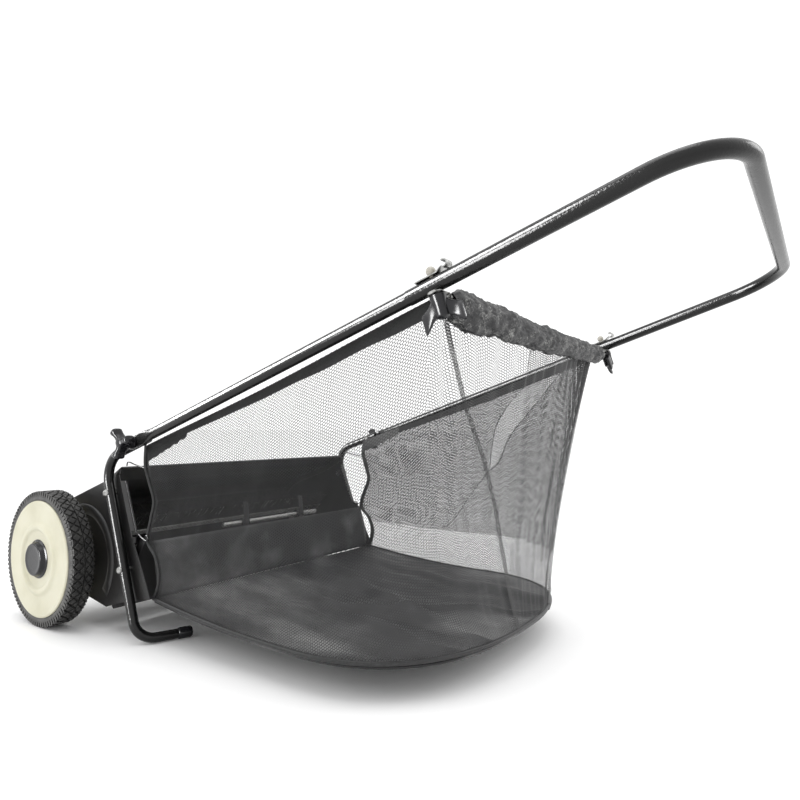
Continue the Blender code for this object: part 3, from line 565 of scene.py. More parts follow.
def add_softboxes():
    """Long softboxes that shine only on glossy pieces, to draw bright lines down the tubes."""
    for name, (middle, along, size, power, finishes) in SOFTBOXES.items():
        light = add_lamp(name, power)
        light.data.shape = "RECTANGLE"
        light.data.size, light.data.size_y = size
        long_axis = Vector(along).normalized()
        back = Vector(middle) - SOFTBOX_AIM
        back = (back - long_axis * back.dot(long_axis)).normalized()
        turn = Matrix((long_axis.cross(back), long_axis, back)).transposed()
        light.matrix_world = Matrix.Translation(middle) @ turn.to_4x4()
        receivers = bpy.data.collections.new(name + "_pieces")
        glossy = [look[finish] for finish in finishes]
        for obj in bpy.context.scene.objects:
            if obj.type == "MESH" and obj.data.materials and obj.data.materials[0] in glossy:
                receivers.objects.link(obj)
        light.light_linking.receiver_collection = receivers


def make_studio():
    scene = bpy.context.scene
    scene.view_settings.view_transform = "Standard"

    lens = bpy.data.cameras.new("camera")
    lens.sensor_width = 36
    lens.lens = LENS_MM
    camera = bpy.data.objects.new("camera", lens)
    scene.collection.objects.link(camera)
    camera.location = CAMERA_PLACE
    level = Vector(CAMERA_DIRECTION).to_track_quat("-Z", "Y")
    camera.rotation_mode = "QUATERNION"
    camera.rotation_quaternion = level @ Quaternion((0, 0, 1), CAMERA_ROLL)
    scene.camera = camera

    world = bpy.data.worlds.new("studio")
    world.use_nodes = True
    sky = world.node_tree.nodes["Background"]
    sky.inputs["Color"].default_value = (1.0, 1.0, 1.0, 1)
    sky.inputs["Strength"].default_value = 1.2
    scene.world = world

    paper = Finish("paper", (0.94, 0.94, 0.94), 0.8, specular=0.2)
    paper.tint(paper.noise(2.0), [(0.0, (0.93, 0.93, 0.93)), (1.0, (0.95, 0.95, 0.95))])
    corners = [(x * FLOOR_REACH, y * FLOOR_REACH, 0) for x, y in ((-1, -1), (1, -1), (1, 1), (-1, 1))]
    add_mesh("floor", corners, [(0, 1, 2, 3)], "paper")

    for name, (place, size, power) in LAMPS.items():
        light = add_lamp(name, power)
        light.data.size = size
        light.location = place
        light.rotation_mode = "QUATERNION"
        light.rotation_quaternion = (LAMP_AIM - Vector(place)).to_track_quat("-Z", "Y")


# ---- handle ----
def make_lower_handle(side_name, side):
    """Flat tongue at the pivot, round tube, and a shoulder where it enters the upper tube."""
    shape = [
        # along, middle x, half width across X, half height, squareness
        (0.2040, TONGUE_X, 0.0008, 0.0050, 3), (0.2050, TONGUE_X, 0.0015, 0.0072, 4),
        (0.2085, TONGUE_X, 0.0015, 0.0090, 6), (0.2400, TONGUE_X, 0.0015, 0.0092, 6),
        (0.2460, 0.2864, 0.0020, 0.0091, 4), (0.2530, 0.2857, 0.0038, 0.0086, 3),
        (0.2600, 0.2846, 0.0062, 0.0080, 2.3), (0.2670, TUBE_X, LOWER_TUBE_R, LOWER_TUBE_R, 2),
        (JOINT_ALONG + 0.001, TUBE_X, LOWER_TUBE_R, LOWER_TUBE_R, 2),
        (JOINT_ALONG + 0.0015, TUBE_X, SWAGED_R, SWAGED_R, 2),
        (SWAGE_END_ALONG, TUBE_X, SWAGED_R, SWAGED_R, 2),
    ]
    rings = [
        superellipse(on_handle(side * x, along), ACROSS, HANDLE_UP, half_x, half_z, power, 20)
        for along, x, half_x, half_z, power in shape
    ]
    handle = loft("lower_handle_tube_" + side_name, rings, "black_tube")
    flip_if_inside_out(handle)
    ridden(handle, "handle", "black_tube", "lower_handle_" + side_name)


def make_upper_handle():
    corners = [
        on_handle(TUBE_X, JOINT_ALONG), on_handle(TUBE_X, GRIP_ALONG),
        on_handle(-TUBE_X, GRIP_ALONG), on_handle(-TUBE_X, JOINT_ALONG),
    ]
    lip = HANDLE_DIRECTION * 0.002
    path = [corners[0], corners[0] + lip]
    path += round_corner(*corners[:3], GRIP_CORNER_R, 20)
    path += round_corner(*corners[1:], GRIP_CORNER_R, 20)
    path += [corners[3] + lip, corners[3]]
    radii = [UPPER_TUBE_R] * len(path)
    radii[0] = radii[-1] = UPPER_TUBE_R - 0.0005
    handle = sweep("handle_loop", path, radii, "black_tube", 28)
    ridden(handle, "handle", "black_tube", "upper_handle")


def leg_y(height):
    """How far behind the axle the straight of a leg is at a height."""
    return LEG_CORNER[0] + (LEG_CORNER[1] - height) * LEG_SLOPE[0] / -LEG_SLOPE[1]


def make_leg(side_name, side):
    end = on_handle(side * LEG_X, LEG_END_ALONG)
    corner = behind_axle(side * LEG_X, *LEG_CORNER)
    ankle = behind_axle(side * LEG_X, leg_y(FOOT_Z), FOOT_Z)
    toe = behind_axle(side * FOOT_END[0], FOOT_END[1], FOOT_Z)
    path = [end, *round_corner(end, corner, ankle, LEG_TOP_BEND_R)]
    path += [*round_corner(corner, ankle, toe, LEG_FOOT_BEND_R), toe]
    leg = sweep("leg_tube_" + side_name, path, LEG_R, "black_tube", 24)
    ridden(leg, "chassis", "black_tube", "leg_" + side_name)

    inwards = (toe - ankle).normalized()
    profile = [
        (0, 0.0220), (0.0042, 0.0218), (0.0066, 0.0208), (0.0080, 0.0192), (0.0085, 0.0172),
        (0.0085, 0.0016), (0.0082, 0.0008), (0.0076, 0.0004), (0.0074, 0.0014),
        (0.0074, 0.0180), (0, 0.0182),
    ]
    placing = facing(toe - inwards * 0.0187, DOWN, inwards)
    cap = lathe("foot_" + side_name, profile, placing, "black_plastic", 32)
    ridden(cap, "chassis", "black_plastic", "foot_cap_" + side_name)


def make_bolts(side_name, side):
    """Dome-headed leg bolts, the pivot bolt, and the round-headed bolt through the upper tube."""
    for level, height in LEG_BOLT_HEIGHTS.items():
        seat = LEG_X + LEG_R
        nut_x = PLATE_OUTER_X - 0.0019
        profile = [
            (0, seat + 0.0045), (0.0018, seat + 0.0043), (0.0034, seat + 0.0035),
            (0.0046, seat + 0.0022), (0.0052, seat + 0.0006), (0.0052, seat - 0.0006),
            (0.003, seat - 0.0006), (0.003, nut_x), (0.0055, nut_x), (0.0055, nut_x - 0.005),
            (0, nut_x - 0.005),
        ]
        name = f"leg_bolt_{level}_{side_name}"
        placing = sideways(leg_y(height), height, side)
        bolt = lathe("dome_" + name, profile, placing, "zinc", 24)
        ridden(bolt, "chassis", "zinc", name)

    head_x = LEG_X - LEG_R - 0.0003
    profile = [
        (0, TONGUE_X + 0.019), (0.003, TONGUE_X + 0.019), (0.003, head_x), (0.0052, head_x),
        (0.0055, head_x - 0.0012), (0.0042, head_x - 0.0026), (0, head_x - 0.0028),
    ]
    pivot = on_handle(0, PIVOT_ALONG)
    placing = facing(pivot, HANDLE_DIRECTION, ACROSS * side)
    bolt = lathe("pivot_pin_" + side_name, profile, placing, "zinc", 24)
    ridden(bolt, "chassis", "zinc", "pivot_bolt_" + side_name)

    ball_r, ball_z = 0.0053, STRIP_TOP + 0.0047
    profile = [(0, ball_z + ball_r)]
    for i in range(1, 9):
        angle = radians(90 - 18 * i)
        profile.append((ball_r * cos(angle), ball_z + ball_r * sin(angle)))
    profile += [(0.0042, STRIP_TOP), (0.003, STRIP_TOP), (0.003, -0.030), (0, -0.030)]
    bolt = lathe("ball_bolt_" + side_name, profile, bolt_placing(side), "white_plastic", 28)
    ridden(bolt, "handle", "white_plastic", "handle_bolt_" + side_name)


# out from the screw, middle height, half height, half thickness, sideways curl
CURLED_WING = (
    (0.0030, 0.0125, 0.0105, 0.0044, 0.0), (0.0080, 0.0140, 0.0095, 0.0038, 0.0),
    (0.0120, 0.0175, 0.0090, 0.0030, 0.0006), (0.0165, 0.0215, 0.0098, 0.0025, 0.0022),
    (0.0200, 0.0236, 0.0108, 0.0023, 0.0044), (0.0222, 0.0243, 0.0106, 0.0020, 0.0064),
    (0.0230, 0.0243, 0.0092, 0.0010, 0.0076),
)
STAR_LOBE = (
    (0.0030, 0.0150, 0.0085, 0.0060, 0.0), (0.0100, 0.0160, 0.0080, 0.0040, 0.0),
    (0.0150, 0.0175, 0.0080, 0.0042, 0.0), (0.0190, 0.0185, 0.0082, 0.0060, 0.0),
    (0.0218, 0.0185, 0.0078, 0.0064, 0.0), (0.0232, 0.0185, 0.0066, 0.0050, 0.0),
)


def make_knob(name, placing, body, node, wing_shape, wing_turns):
    """Moulded knob: a hub and its wings, at these turns about its screw in degrees."""
    hub_profile = [
        (0, 0.0245), (0.0050, 0.0243), (0.0070, 0.0232), (0.0076, 0.0215), (0.0078, 0.0100),
        (0.0088, 0.0040), (0.0090, 0.0008), (0.0084, 0.0), (0.0034, 0.0), (0.0034, 0.018),
        (0, 0.018),
    ]
    hub = lathe(name + "_hub", hub_profile, placing, "black_plastic", 36)
    ridden(hub, body, "black_plastic", node)
    for number, degrees in enumerate(wing_turns, 1):
        turned = placing @ Matrix.Rotation(radians(degrees), 4, "Z")
        rings = []
        for out, middle, half, thick, curl in wing_shape:
            centre = Vector((out, curl, middle))
            ring = superellipse(centre, Vector((0, 1, 0)), Vector((0, 0, 1)), thick, half, 3.2, 24)
            rings.append([turned @ point for point in ring])
        wing = loft(f"{name}_wing_{number}", rings, "black_plastic", 60)
        flip_if_inside_out(wing)
        ridden(wing, body, "black_plastic", node)


PIVOT_WING_TURNS = {"left": (24, 144, 264), "right": (-24, -144, -264)}
CLAMP_WING_TURNS = {"left": (-20, 160), "right": (60, 240)}


def make_knobs(side_name, side):
    base = on_handle(side * (TONGUE_X + 0.0018), PIVOT_ALONG)
    placing = facing(base, HANDLE_UP, ACROSS * side)
    make_knob(
        "pivot_knob_" + side_name, placing, side_name + "_pivot_knob", "lower_knob_" + side_name,
        STAR_LOBE, PIVOT_WING_TURNS[side_name],
    )
    base = on_handle(side * TUBE_X, BOLT_ALONG, KNOB_ABOVE)
    placing = facing(base, HANDLE_DIRECTION, -HANDLE_UP)
    make_knob(
        "clamp_knob_" + side_name, placing, side_name + "_upper_knob", "upper_knob_" + side_name,
        CURLED_WING, CLAMP_WING_TURNS[side_name],
    )


# ---- frame ----
BEAD_ANGLES = (188, 142)
BEAD_HEIGHT = 0.0022
# the bent-in ends of the hood: x, and how far inside the outer skin
HOOD_EDGE = ((0.2655, 0.0126), (0.2655, 0.0032), (0.2650, 0.0015), (0.2635, 0.0007))
HOOD_SKIN = HOOD_EDGE[-1][1]


def hood_section(inset, steps=44):
    """Hood section from its front lip over the brush to its rear edge, with two pressed beads."""
    section = []
    for i in range(steps + 1):
        angle = blend(HOOD_FRONT_ANGLE, HOOD_ROOF_ANGLE, i / steps)
        bead = sum(exp(-((degrees(angle) - at) / 3.2) ** 2) for at in BEAD_ANGLES)
        radius = HOOD_R - inset + BEAD_HEIGHT * bead
        section.append((BRUSH_Y + radius * cos(angle), BRUSH_Z + radius * sin(angle)))
    drop = 0.92 * inset
    kink = (HOOD_KINK[0], HOOD_KINK[1] - drop)
    rear = (HOOD_REAR[0], HOOD_REAR[1] - drop)
    for start, end, count in ((section[-1], kink, 6), (kink, rear, 8)):
        for i in range(1, count + 1):
            share = i / count
            section.append((blend(start[0], end[0], share), blend(start[1], end[1], share)))
    return section


def make_hood():
    edges = [(-x, inset) for x, inset in HOOD_EDGE] + list(HOOD_EDGE[::-1])
    rows = [[behind_axle(x, y, z) for y, z in hood_section(inset)] for x, inset in edges]
    hood = cloth("hood_sheet", rows, "black_sheet")
    hood.data.set_sharp_from_angle(angle=radians(SHARP_ANGLE))
    thicken(hood, 0.0012)
    ridden(hood, "chassis", "black_sheet", "hood")
    front = hood_section(HOOD_SKIN)[0]
    rear = (HOOD_REAR[0], HOOD_REAR[1] - 0.0022)
    for name, (y, z), radius in (("hood_front_lip", front, 0.0030), ("hood_rear_hem", rear, 0.0020)):
        path = [behind_axle(x, y, z) for x in (-0.2640, -0.1, 0.1, 0.2640)]
        ridden(sweep(name, path, radius, "black_sheet", 14), "chassis", "black_sheet")


ARC_R = 0.078
ARC_HALF_WIDTH = 0.0085
ARC_HEIGHT = 0.0026
ARC_START, ARC_TURN = 218, 256
REAR_ROLL = ((0.1432, 0.2358), (0.1752, 0.1590))


def make_plate_details(side_name, side):
    """Pressed arc and rolled rear edge on each end plate."""

    def arc_point(along, width_share):
        angle = radians(ARC_START - ARC_TURN * along)
        fade = min(1.0, 15 * along, 15 * (1 - along))
        across = 2 * width_share - 1
        height = ARC_HEIGHT * fade * cos(across * pi / 2) ** 0.8 + 0.0002
        outward = Vector((0, cos(angle), sin(angle)))
        centre = behind_axle(side * (PLATE_OUTER_X - 0.0004), BRUSH_Y, BRUSH_Z)
        return centre + outward * (ARC_R + across * ARC_HALF_WIDTH) + ACROSS * side * height

    rings = grid(60, 10, arc_point)
    points = [p for ring in rings for p in ring]
    faces = ring_faces(len(rings), 11, wrap=False)
    arc = add_mesh("plate_arc_" + side_name, points, faces, "black_sheet")
    thicken(arc, 0.0006, 1 if side < 0 else -1)
    ridden(arc, "chassis", "black_sheet")
    path = [behind_axle(side * 0.2585, y, z) for y, z in REAR_ROLL]
    rail = sweep("plate_rear_roll_" + side_name, path, 0.0017, "black_tube", 12)
    ridden(rail, "chassis", "black_tube")


# ---- wheels ----
TREAD_COUNT = 46
TREAD_BASE = 0.1043
TREAD_ROWS = ((0.2872, 0.2992), (0.3012, 0.3180))
SHOULDER_LUG_EDGES = (0.3186, 0.2866)


def make_tyre(side_name, side):
    placing = sideways(0, WHEEL_RADIUS, side)
    base = TREAD_BASE + 0.0004
    profile = [
        (0.0924, 0.3176), (0.0940, 0.3188), (0.0975, 0.3192), (0.1005, 0.3188), (0.1028, 0.3176),
        (base, 0.3152), (base, 0.3012), (base - 0.0006, 0.3008), (base - 0.0006, 0.2996),
        (base, 0.2992), (base, 0.2898), (0.1028, 0.2875), (0.1005, 0.2863), (0.0975, 0.2860),
        (0.0940, 0.2866), (0.0924, 0.2876),
    ]
    carcass = lathe("tyre_body_" + side_name, profile, placing, "rubber", 120, closed=True)
    ridden(carcass, "wheel_" + side_name, "rubber", "tyre_" + side_name)

    points, faces = [], []
    pitch = 2 * pi / TREAD_COUNT
    gap = 0.10 * pitch

    def block(outline, low=TREAD_BASE, high=WHEEL_RADIUS - 0.0001, shrink=0.80):
        """A tapered block over an outline of (across, turn)."""
        middle_x = sum(x for x, _ in outline) / len(outline)
        middle_turn = sum(turn for _, turn in outline) / len(outline)
        start = len(points)
        for radius, scale in ((low, 1.0), (high - 0.0006, 0.94), (high, shrink)):
            for x, turn in outline:
                across = middle_x + (x - middle_x) * scale
                angle = middle_turn + (turn - middle_turn) * scale
                local = Vector((radius * cos(angle), radius * sin(angle), across))
                points.append(placing @ local)
        count = len(outline)
        for level in range(2):
            for j in range(count):
                after = (j + 1) % count
                near, far = start + level * count, start + (level + 1) * count
                faces.append((near + j, near + after, far + after, far + j))
        faces.append(tuple(start + 2 * count + j for j in range(count)))
        faces.append(tuple(start + j for j in reversed(range(count))))

    for k in range(TREAD_COUNT):
        for row, (low_x, high_x) in enumerate(TREAD_ROWS):
            centre = (low_x + high_x) / 2
            half = (high_x - low_x) / 2
            turn = (k + 0.5 * row) * pitch
            inset = half * gap / (pitch / 2)
            block([
                (centre - half + inset, turn), (centre, turn - pitch / 2 + gap),
                (centre + half - inset, turn), (centre, turn + pitch / 2 - gap),
            ])
            turn += pitch / 2
            for edge, way in ((low_x, 1), (high_x, -1)):
                tip = (edge + way * (half - inset), turn)
                ends = [(edge, turn - pitch / 2 + gap), (edge, turn + pitch / 2 - gap)]
                block([ends[0], tip, ends[1]] if way < 0 else [ends[1], tip, ends[0]])
        for edge in SHOULDER_LUG_EDGES:
            for share in (0.0, 0.5):
                start, end = (k + share - 0.15) * pitch, (k + share + 0.15) * pitch
                low, high = edge - 0.0016, edge + 0.0008
                block([(low, start), (high, start), (high, end), (low, end)], 0.0985, 0.1068, 0.85)
    tread = add_mesh("tyre_tread_" + side_name, points, faces, "rubber", smooth=False)
    ridden(tread, "wheel_" + side_name, "rubber", "tyre_" + side_name)


def make_hub_face(side_name, side):
    placing = sideways(0, WHEEL_RADIUS, side)
    profile = [
        (0.0305, 0.3194), (0.0330, 0.3196), (0.0430, 0.3196), (0.0448, 0.3200), (0.0462, 0.3216),
        (0.0476, 0.3230), (0.0500, 0.3237), (0.0535, 0.3236), (0.0556, 0.3224), (0.0574, 0.3206),
        (0.0592, 0.3197), (0.0630, 0.3195), (0.0700, 0.3196), (0.0850, 0.3198), (0.0878, 0.3206),
        (0.0905, 0.3210), (0.0922, 0.3203), (0.0927, 0.3190), (0.0927, 0.3186), (0.0305, 0.3186),
    ]
    face = lathe("hub_face_" + side_name, profile[::-1], placing, "cream_plastic", 120, True, 50)
    flip_if_inside_out(face)
    ridden(face, "wheel_" + side_name, "cream_plastic")

    profile = [
        (0, 0.3276), (0.0160, 0.3277), (0.0215, 0.3279), (0.0235, 0.3284), (0.0250, 0.3280),
        (0.0257, 0.3270), (0.0268, 0.3222), (0.0278, 0.3209), (0.0302, 0.3206), (0.0308, 0.3198),
        (0.0306, 0.3190), (0.0272, 0.3190), (0.0262, 0.3163), (0.0245, 0.3163), (0.0245, 0.3204),
        (0.018, 0.3228), (0, 0.3240),
    ]
    cap = lathe("wheel_cap_" + side_name, profile, placing, "black_plastic", 72, sharp=50)
    ridden(cap, "wheel_" + side_name, "black_plastic", "hub_cap_" + side_name)


# ---- brush ----
BRISTLE_FOOT_R = 0.0520
BRISTLE_HALF_LENGTH = 0.247
BRISTLE_COLUMNS = 250
BRISTLE_ROW_GAP = 0.0028


def make_bristles(index):
    """Rows of separate bristles standing out of one holder."""
    chance = random.Random(40 + index)
    turn = pi / 4 + index * pi / 2
    outwards = Vector((0, cos(turn), sin(turn)))
    aside = ACROSS.cross(outwards)
    centre = behind_axle(0, BRUSH_Y, BRUSH_Z)
    points, faces = [], []
    for column in range(BRISTLE_COLUMNS):
        for row in (-1, 0, 1):
            x = BRISTLE_HALF_LENGTH * (2 * (column + 0.5) / BRISTLE_COLUMNS - 1)
            x += chance.uniform(-0.0006, 0.0006)
            foot = centre + outwards * BRISTLE_FOOT_R + aside * row * BRISTLE_ROW_GAP + ACROSS * x
            lean = aside * (row * 0.0012 + chance.uniform(-0.0016, 0.0016))
            lean += ACROSS * chance.uniform(-0.0022, 0.0022)
            length = BRUSH_R - BRISTLE_FOOT_R - chance.uniform(0.0002, 0.0022)
            tip = foot + outwards * length + lean
            start = len(points)
            for end, radius in ((foot, 0.0007), (tip, 0.00045)):
                for j in range(3):
                    angle = 2 * pi * j / 3
                    points.append(end + (ACROSS * cos(angle) + aside * sin(angle)) * radius)
            for j in range(3):
                after = (j + 1) % 3
                faces.append((start + j, start + 3 + j, start + 3 + after, start + after))
            faces += [(start, start + 1, start + 2), (start + 5, start + 4, start + 3)]
    strip = add_mesh(f"bristles_{index + 1}", points, faces, "bristle", smooth=False)
    ridden(strip, "brush_reel", "bristle", f"bristle_strip_{index + 1}")
    corners = [(0.0517, -0.0046), (0.0600, -0.0050), (0.0600, 0.0050), (0.0517, 0.0046)]
    rings = [
        [centre + outwards * r + aside * s + ACROSS * x for r, s in corners] for x in (-0.248, 0.248)
    ]
    root = loft(f"bristle_root_{index + 1}", rings, "bristle")
    flip_if_inside_out(root)
    ridden(root, "brush_reel", "bristle")


def ripple(x, y, z):
    return noise.noise(Vector((x, y, z)))


# ---- hopper bag ----
def through(start, middle, end, share):
    """A smooth curve through three points, the middle one at half way."""
    one = (1 - share) * (1 - 2 * share)
    two = 4 * share * (1 - share)
    three = share * (2 * share - 1)
    return one * Vector(start) + two * Vector(middle) + three * Vector(end)


def floor_height(y):
    forward = max(0.0, BAG_ROUND_Y - y) / (BAG_ROUND_Y - BAG_FRONT_Y)
    return BAG_FLOOR_Z + BAG_FRONT_RISE * forward ** 2


def floor_half_width(y):
    past = max(0.0, y - BAG_ROUND_Y) / BAG_ROUND_DEPTH
    return BAG_SIDE_X * max(0.0, 1 - past ** BAG_ROUNDNESS) ** (1 / BAG_ROUNDNESS)


def floor_y(half_width):
    """How far back the rounded plan outline is at a half width."""
    inside = 1 - (abs(half_width) / BAG_SIDE_X) ** BAG_ROUNDNESS
    return BAG_ROUND_Y + BAG_ROUND_DEPTH * inside ** (1 / BAG_ROUNDNESS)


SEAM_FOOT = (SEAM_FOOT_X, floor_y(SEAM_FOOT_X), BAG_FLOOR_Z)
FRONT_EDGE_CURVE = smooth_curve([(0, y, z) for z, y in BAG_FRONT_EDGE], 200)


def bag_outline(share):
    """The side panel's lower edge, from the front (0) to the rear seam (1)."""
    straight = 0.55
    if share < straight:
        y = BAG_FRONT_Y + (BAG_ROUND_Y - BAG_FRONT_Y) * share / straight
        return Vector((BAG_SIDE_X, y, floor_height(y)))
    end = acos((SEAM_FOOT_X / BAG_SIDE_X) ** (BAG_ROUNDNESS / 2))
    angle = end * (share - straight) / (1 - straight)
    x = BAG_SIDE_X * cos(angle) ** (2 / BAG_ROUNDNESS)
    y = BAG_ROUND_Y + BAG_ROUND_DEPTH * sin(angle) ** (2 / BAG_ROUNDNESS)
    return Vector((x, y, BAG_FLOOR_Z))


def bag_top_edge(share):
    along = BAG_TOP_START + (BAG_TOP_END - BAG_TOP_START) * share
    sag = 0.0035 * sin(pi * share) ** 2
    point = on_handle(BAG_TOP_X, along, -0.004 - sag)
    return Vector((point.x, point.y - AXLE_Y, point.z))


def front_edge(down):
    point = FRONT_EDGE_CURVE[round(down * 200)]
    x = BAG_TOP_X + (BAG_SIDE_X - BAG_TOP_X) * min(1.0, down * 2.2)
    return Vector((x, point.y, point.z))


def seam_curve(down):
    return through(bag_top_edge(1), SEAM_MIDDLE, SEAM_FOOT, down)


def side_point(across, down):
    """Side panel: across runs front to rear, down runs top to bottom, between four edges."""
    top, foot = bag_top_edge, bag_outline
    flat_part = (1 - down) * top(across) + down * foot(across)
    bent_part = (1 - across) * front_edge(down) + across * seam_curve(down)
    corners = (1 - down) * ((1 - across) * top(0) + across * top(1))
    corners += down * ((1 - across) * foot(0) + across * foot(1))
    return flat_part + bent_part - corners


def edge_mask(across, down, margin=0.07):
    """0 on a panel's edges and 1 inside it."""
    near = min(across, 1 - across, down, 1 - down) / margin
    near = max(0.0, min(1.0, near))
    return near * near * (3 - 2 * near)


def side_normal(across, down):
    step = 0.01
    a = side_point(min(across + step, 1), down) - side_point(max(across - step, 0), down)
    b = side_point(across, min(down + step, 1)) - side_point(across, max(down - step, 0))
    return a.cross(b).normalized()


def side_fold(across, down, seed):
    """How far the side panel's soft folds stand out, in metres."""
    swell = 0.007 * sin(pi * across) * sin(pi * down)
    broad = 0.0055 * ripple(across * 5, down * 3 + across * 2, seed)
    steep = 0.0035 * ripple(across * 17, down * 2.2, seed + 4)
    pull = 0.0035 * sin((down * 1.3 - across * 2.1) * 13 + seed) * exp(-across * 4)
    creases = 0.0016 * ripple(across * 40 + down * 12, down * 9, seed + 9)
    return swell + broad + steep + pull + creases


def place_bag(point, side):
    return behind_axle(side * point.x, point.y, point.z)


def bag_piece(obj, slot, *nodes):
    """Hides the nodes that the piece stands for and bakes its placing into its mesh. slot is not
    used.
    """
    if nodes:
        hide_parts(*nodes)
    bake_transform(obj)
    return obj


def cord(name, path, radius, material="piping", sides=12):
    return bag_piece(sweep(name, path, radius, material, sides), "vinyl")


def band(name, rows, material="piping"):
    return bag_piece(cloth(name, rows, material), "vinyl")


def value_at(stops, height):
    """The value at a height between (height, value) stops, and None past their ends."""
    for (high, above), (low, below) in zip(stops, stops[1:]):
        if low <= height <= high:
            return blend(below, above, (height - low) / (high - low))
    return None


# the lighter strip let into the right side panel: height, and distance behind the axle
STRIP_FRONT_EDGE = [
    (0.432, 0.627), (0.405, 0.592), (0.366, 0.552), (0.325, 0.525), (0.270, 0.514),
    (0.240, 0.508), (0.192, 0.471), (0.137, 0.431), (0.121, 0.408),
]
STRIP_REAR_EDGE = [
    (0.440, 0.670), (0.410, 0.645), (0.359, 0.601), (0.327, 0.572), (0.299, 0.551),
    (0.256, 0.531), (0.238, 0.508),
]
# the sewn tape that comes down the rear panel from its left corner: height, and x
SEAM_TAPE = [
    (0.460, 0.250), (0.440, 0.236), (0.347, 0.172), (0.284, 0.119), (0.219, 0.078),
    (0.139, 0.046), (0.078, 0.026), (0.040, 0.015),
]
PANEL_SEEDS = {"left": 3.7, "right": 11.2}
PATCH_LENGTH = 0.19
FLANGE_DROP = 0.0052


def between_strip_edges(y, z):
    front = value_at(STRIP_FRONT_EDGE, z)
    rear = value_at(STRIP_REAR_EDGE, z)
    return front is not None and rear is not None and front < y < rear


def on_side_panel(y, z):
    """The point of the side panel nearest to that distance behind the axle and height."""
    across, down = 0.5, 0.5
    for _ in range(40):
        point = side_point(across, down)
        across = min(1.0, max(0.0, across + (y - point.y) / 0.52))
        down = min(1.0, max(0.0, down + (point.z - z) / 0.36))
    return side_point(across, down)


def make_bag_side(side_name, side):
    seed = PANEL_SEEDS[side_name]

    def panel_point(across, down):
        fold = side_fold(across, down, seed) * edge_mask(across, down)
        return place_bag(side_point(across, down) + side_normal(across, down) * fold, side)

    def hem_point(across, share):
        depth = 0.030 + 0.004 * ripple(across * 9, 0, seed)
        lift = side_normal(min(across, 0.99), 0.02) * 0.0012
        return place_bag(side_point(across, depth * share) + lift, side)

    def patch_point(along, share):
        across = PATCH_LENGTH * along
        ragged = 0.006 * along if round(24 * along) % 4 > 1 else 0.0
        depth = 0.085 * (1 - 0.55 * along) + ragged
        lift = side_normal(max(across, 0.01), 0.04) * 0.0022
        return place_bag(side_point(across, depth * share) + lift, side)

    def tape_point(down, share):
        width = 0.0155 + 0.002 * ripple(down * 14, 1.0, seed)
        lift = side_normal(0.02, min(0.98, max(0.02, down))) * 0.0010
        return place_bag(side_point(width * share, down) + lift, side)

    upper = "mesh_open" if side > 0 else "mesh_double"
    panel = cloth("bag_panel_" + side_name, grid(128, 72, panel_point), upper)
    panel.data.materials.append(look["mesh_lower"])
    panel.data.materials.append(look["mesh_strip"])
    for face in panel.data.polygons:
        if face.center.z < MESH_HEM_Z:
            face.material_index = 1
        elif side < 0 and between_strip_edges(face.center.y - AXLE_Y, face.center.z):
            face.material_index = 2
    bag_piece(panel, "mesh_fabric", "bag_side_" + side_name)

    front = [place_bag(front_edge(j / 60), side) for j in range(61)]
    foot = [side_point(i / 96, 1) for i in range(97)]
    inwards = 0.003 / BAG_SIDE_X
    flange = [place_bag(p + Vector((-inwards * p.x, 0, -FLANGE_DROP)), side) for p in foot]
    foot = [place_bag(p, side) for p in foot]
    extras = [
        cord("bag_front_piping_" + side_name, front, 0.0024),
        cord("bag_foot_piping_" + side_name, foot, 0.0033),
        cord("bag_flange_" + side_name, flange, 0.0021, "vinyl", 10),
        band("bag_top_hem_" + side_name, grid(96, 3, hem_point)),
        band("bag_corner_patch_" + side_name, grid(24, 6, patch_point), "vinyl"),
        band("bag_front_tape_" + side_name, grid(80, 3, tape_point)),
    ]
    if side < 0:
        for label, edge in (("front", STRIP_FRONT_EDGE), ("rear", STRIP_REAR_EDGE)):
            path = smooth_curve([place_bag(on_side_panel(y, z), side) for z, y in edge], 40)
            name = f"bag_strip_{label}_seam_{side_name}"
            extras.append(cord(name, path, 0.0007, sides=8))


def rear_point(share, down):
    """Rear panel: share runs -1 to 1 across, down runs top to bottom."""
    edge = seam_curve(down)
    bulge = (floor_y(0) - SEAM_FOOT[1]) * down
    bulge += 0.010 * sin(pi * down) + 0.017 * (1 - down) ** 3
    return Vector((share * edge.x, edge.y + bulge * (1 - share ** 2), edge.z))


def on_rear_tape(x, down):
    share = x / rear_point(1, down).x
    return place_bag(rear_point(share, down) + Vector((0, 0.002, 0)), 1)


def left_tape_point(along, share):
    down = 0.02 + 0.98 * along
    edge = value_at(SEAM_TAPE, rear_point(0, down).z)
    return on_rear_tape(edge + 0.010 * share, down)


def right_tape_point(along, share):
    down = 0.02 + 0.98 * along
    return on_rear_tape(0.013 * share - rear_point(1, down).x, down)


def rear_panel_point(across, down):
    share = 2 * across - 1
    point = rear_point(share, down)
    gather = exp(-down * 5.5)
    pleat = 0.0042 * sin(share * 41 + 2.2 * sin(share * 7)) * gather
    far = 0.006 * max(0.0, -share) ** 2 * sin(share * 55 + down * 3) * exp(-down * 2)
    broad = 0.006 * ripple(share * 3.1, down * 3, 5.5)
    steep = 0.003 * ripple(share * 12, down * 2, 8.5)
    point.y += (pleat + far + broad + steep) * edge_mask(across, down, 0.04)
    point.z += 0.0016 * sin(share * 41) * gather
    return place_bag(point, 1)


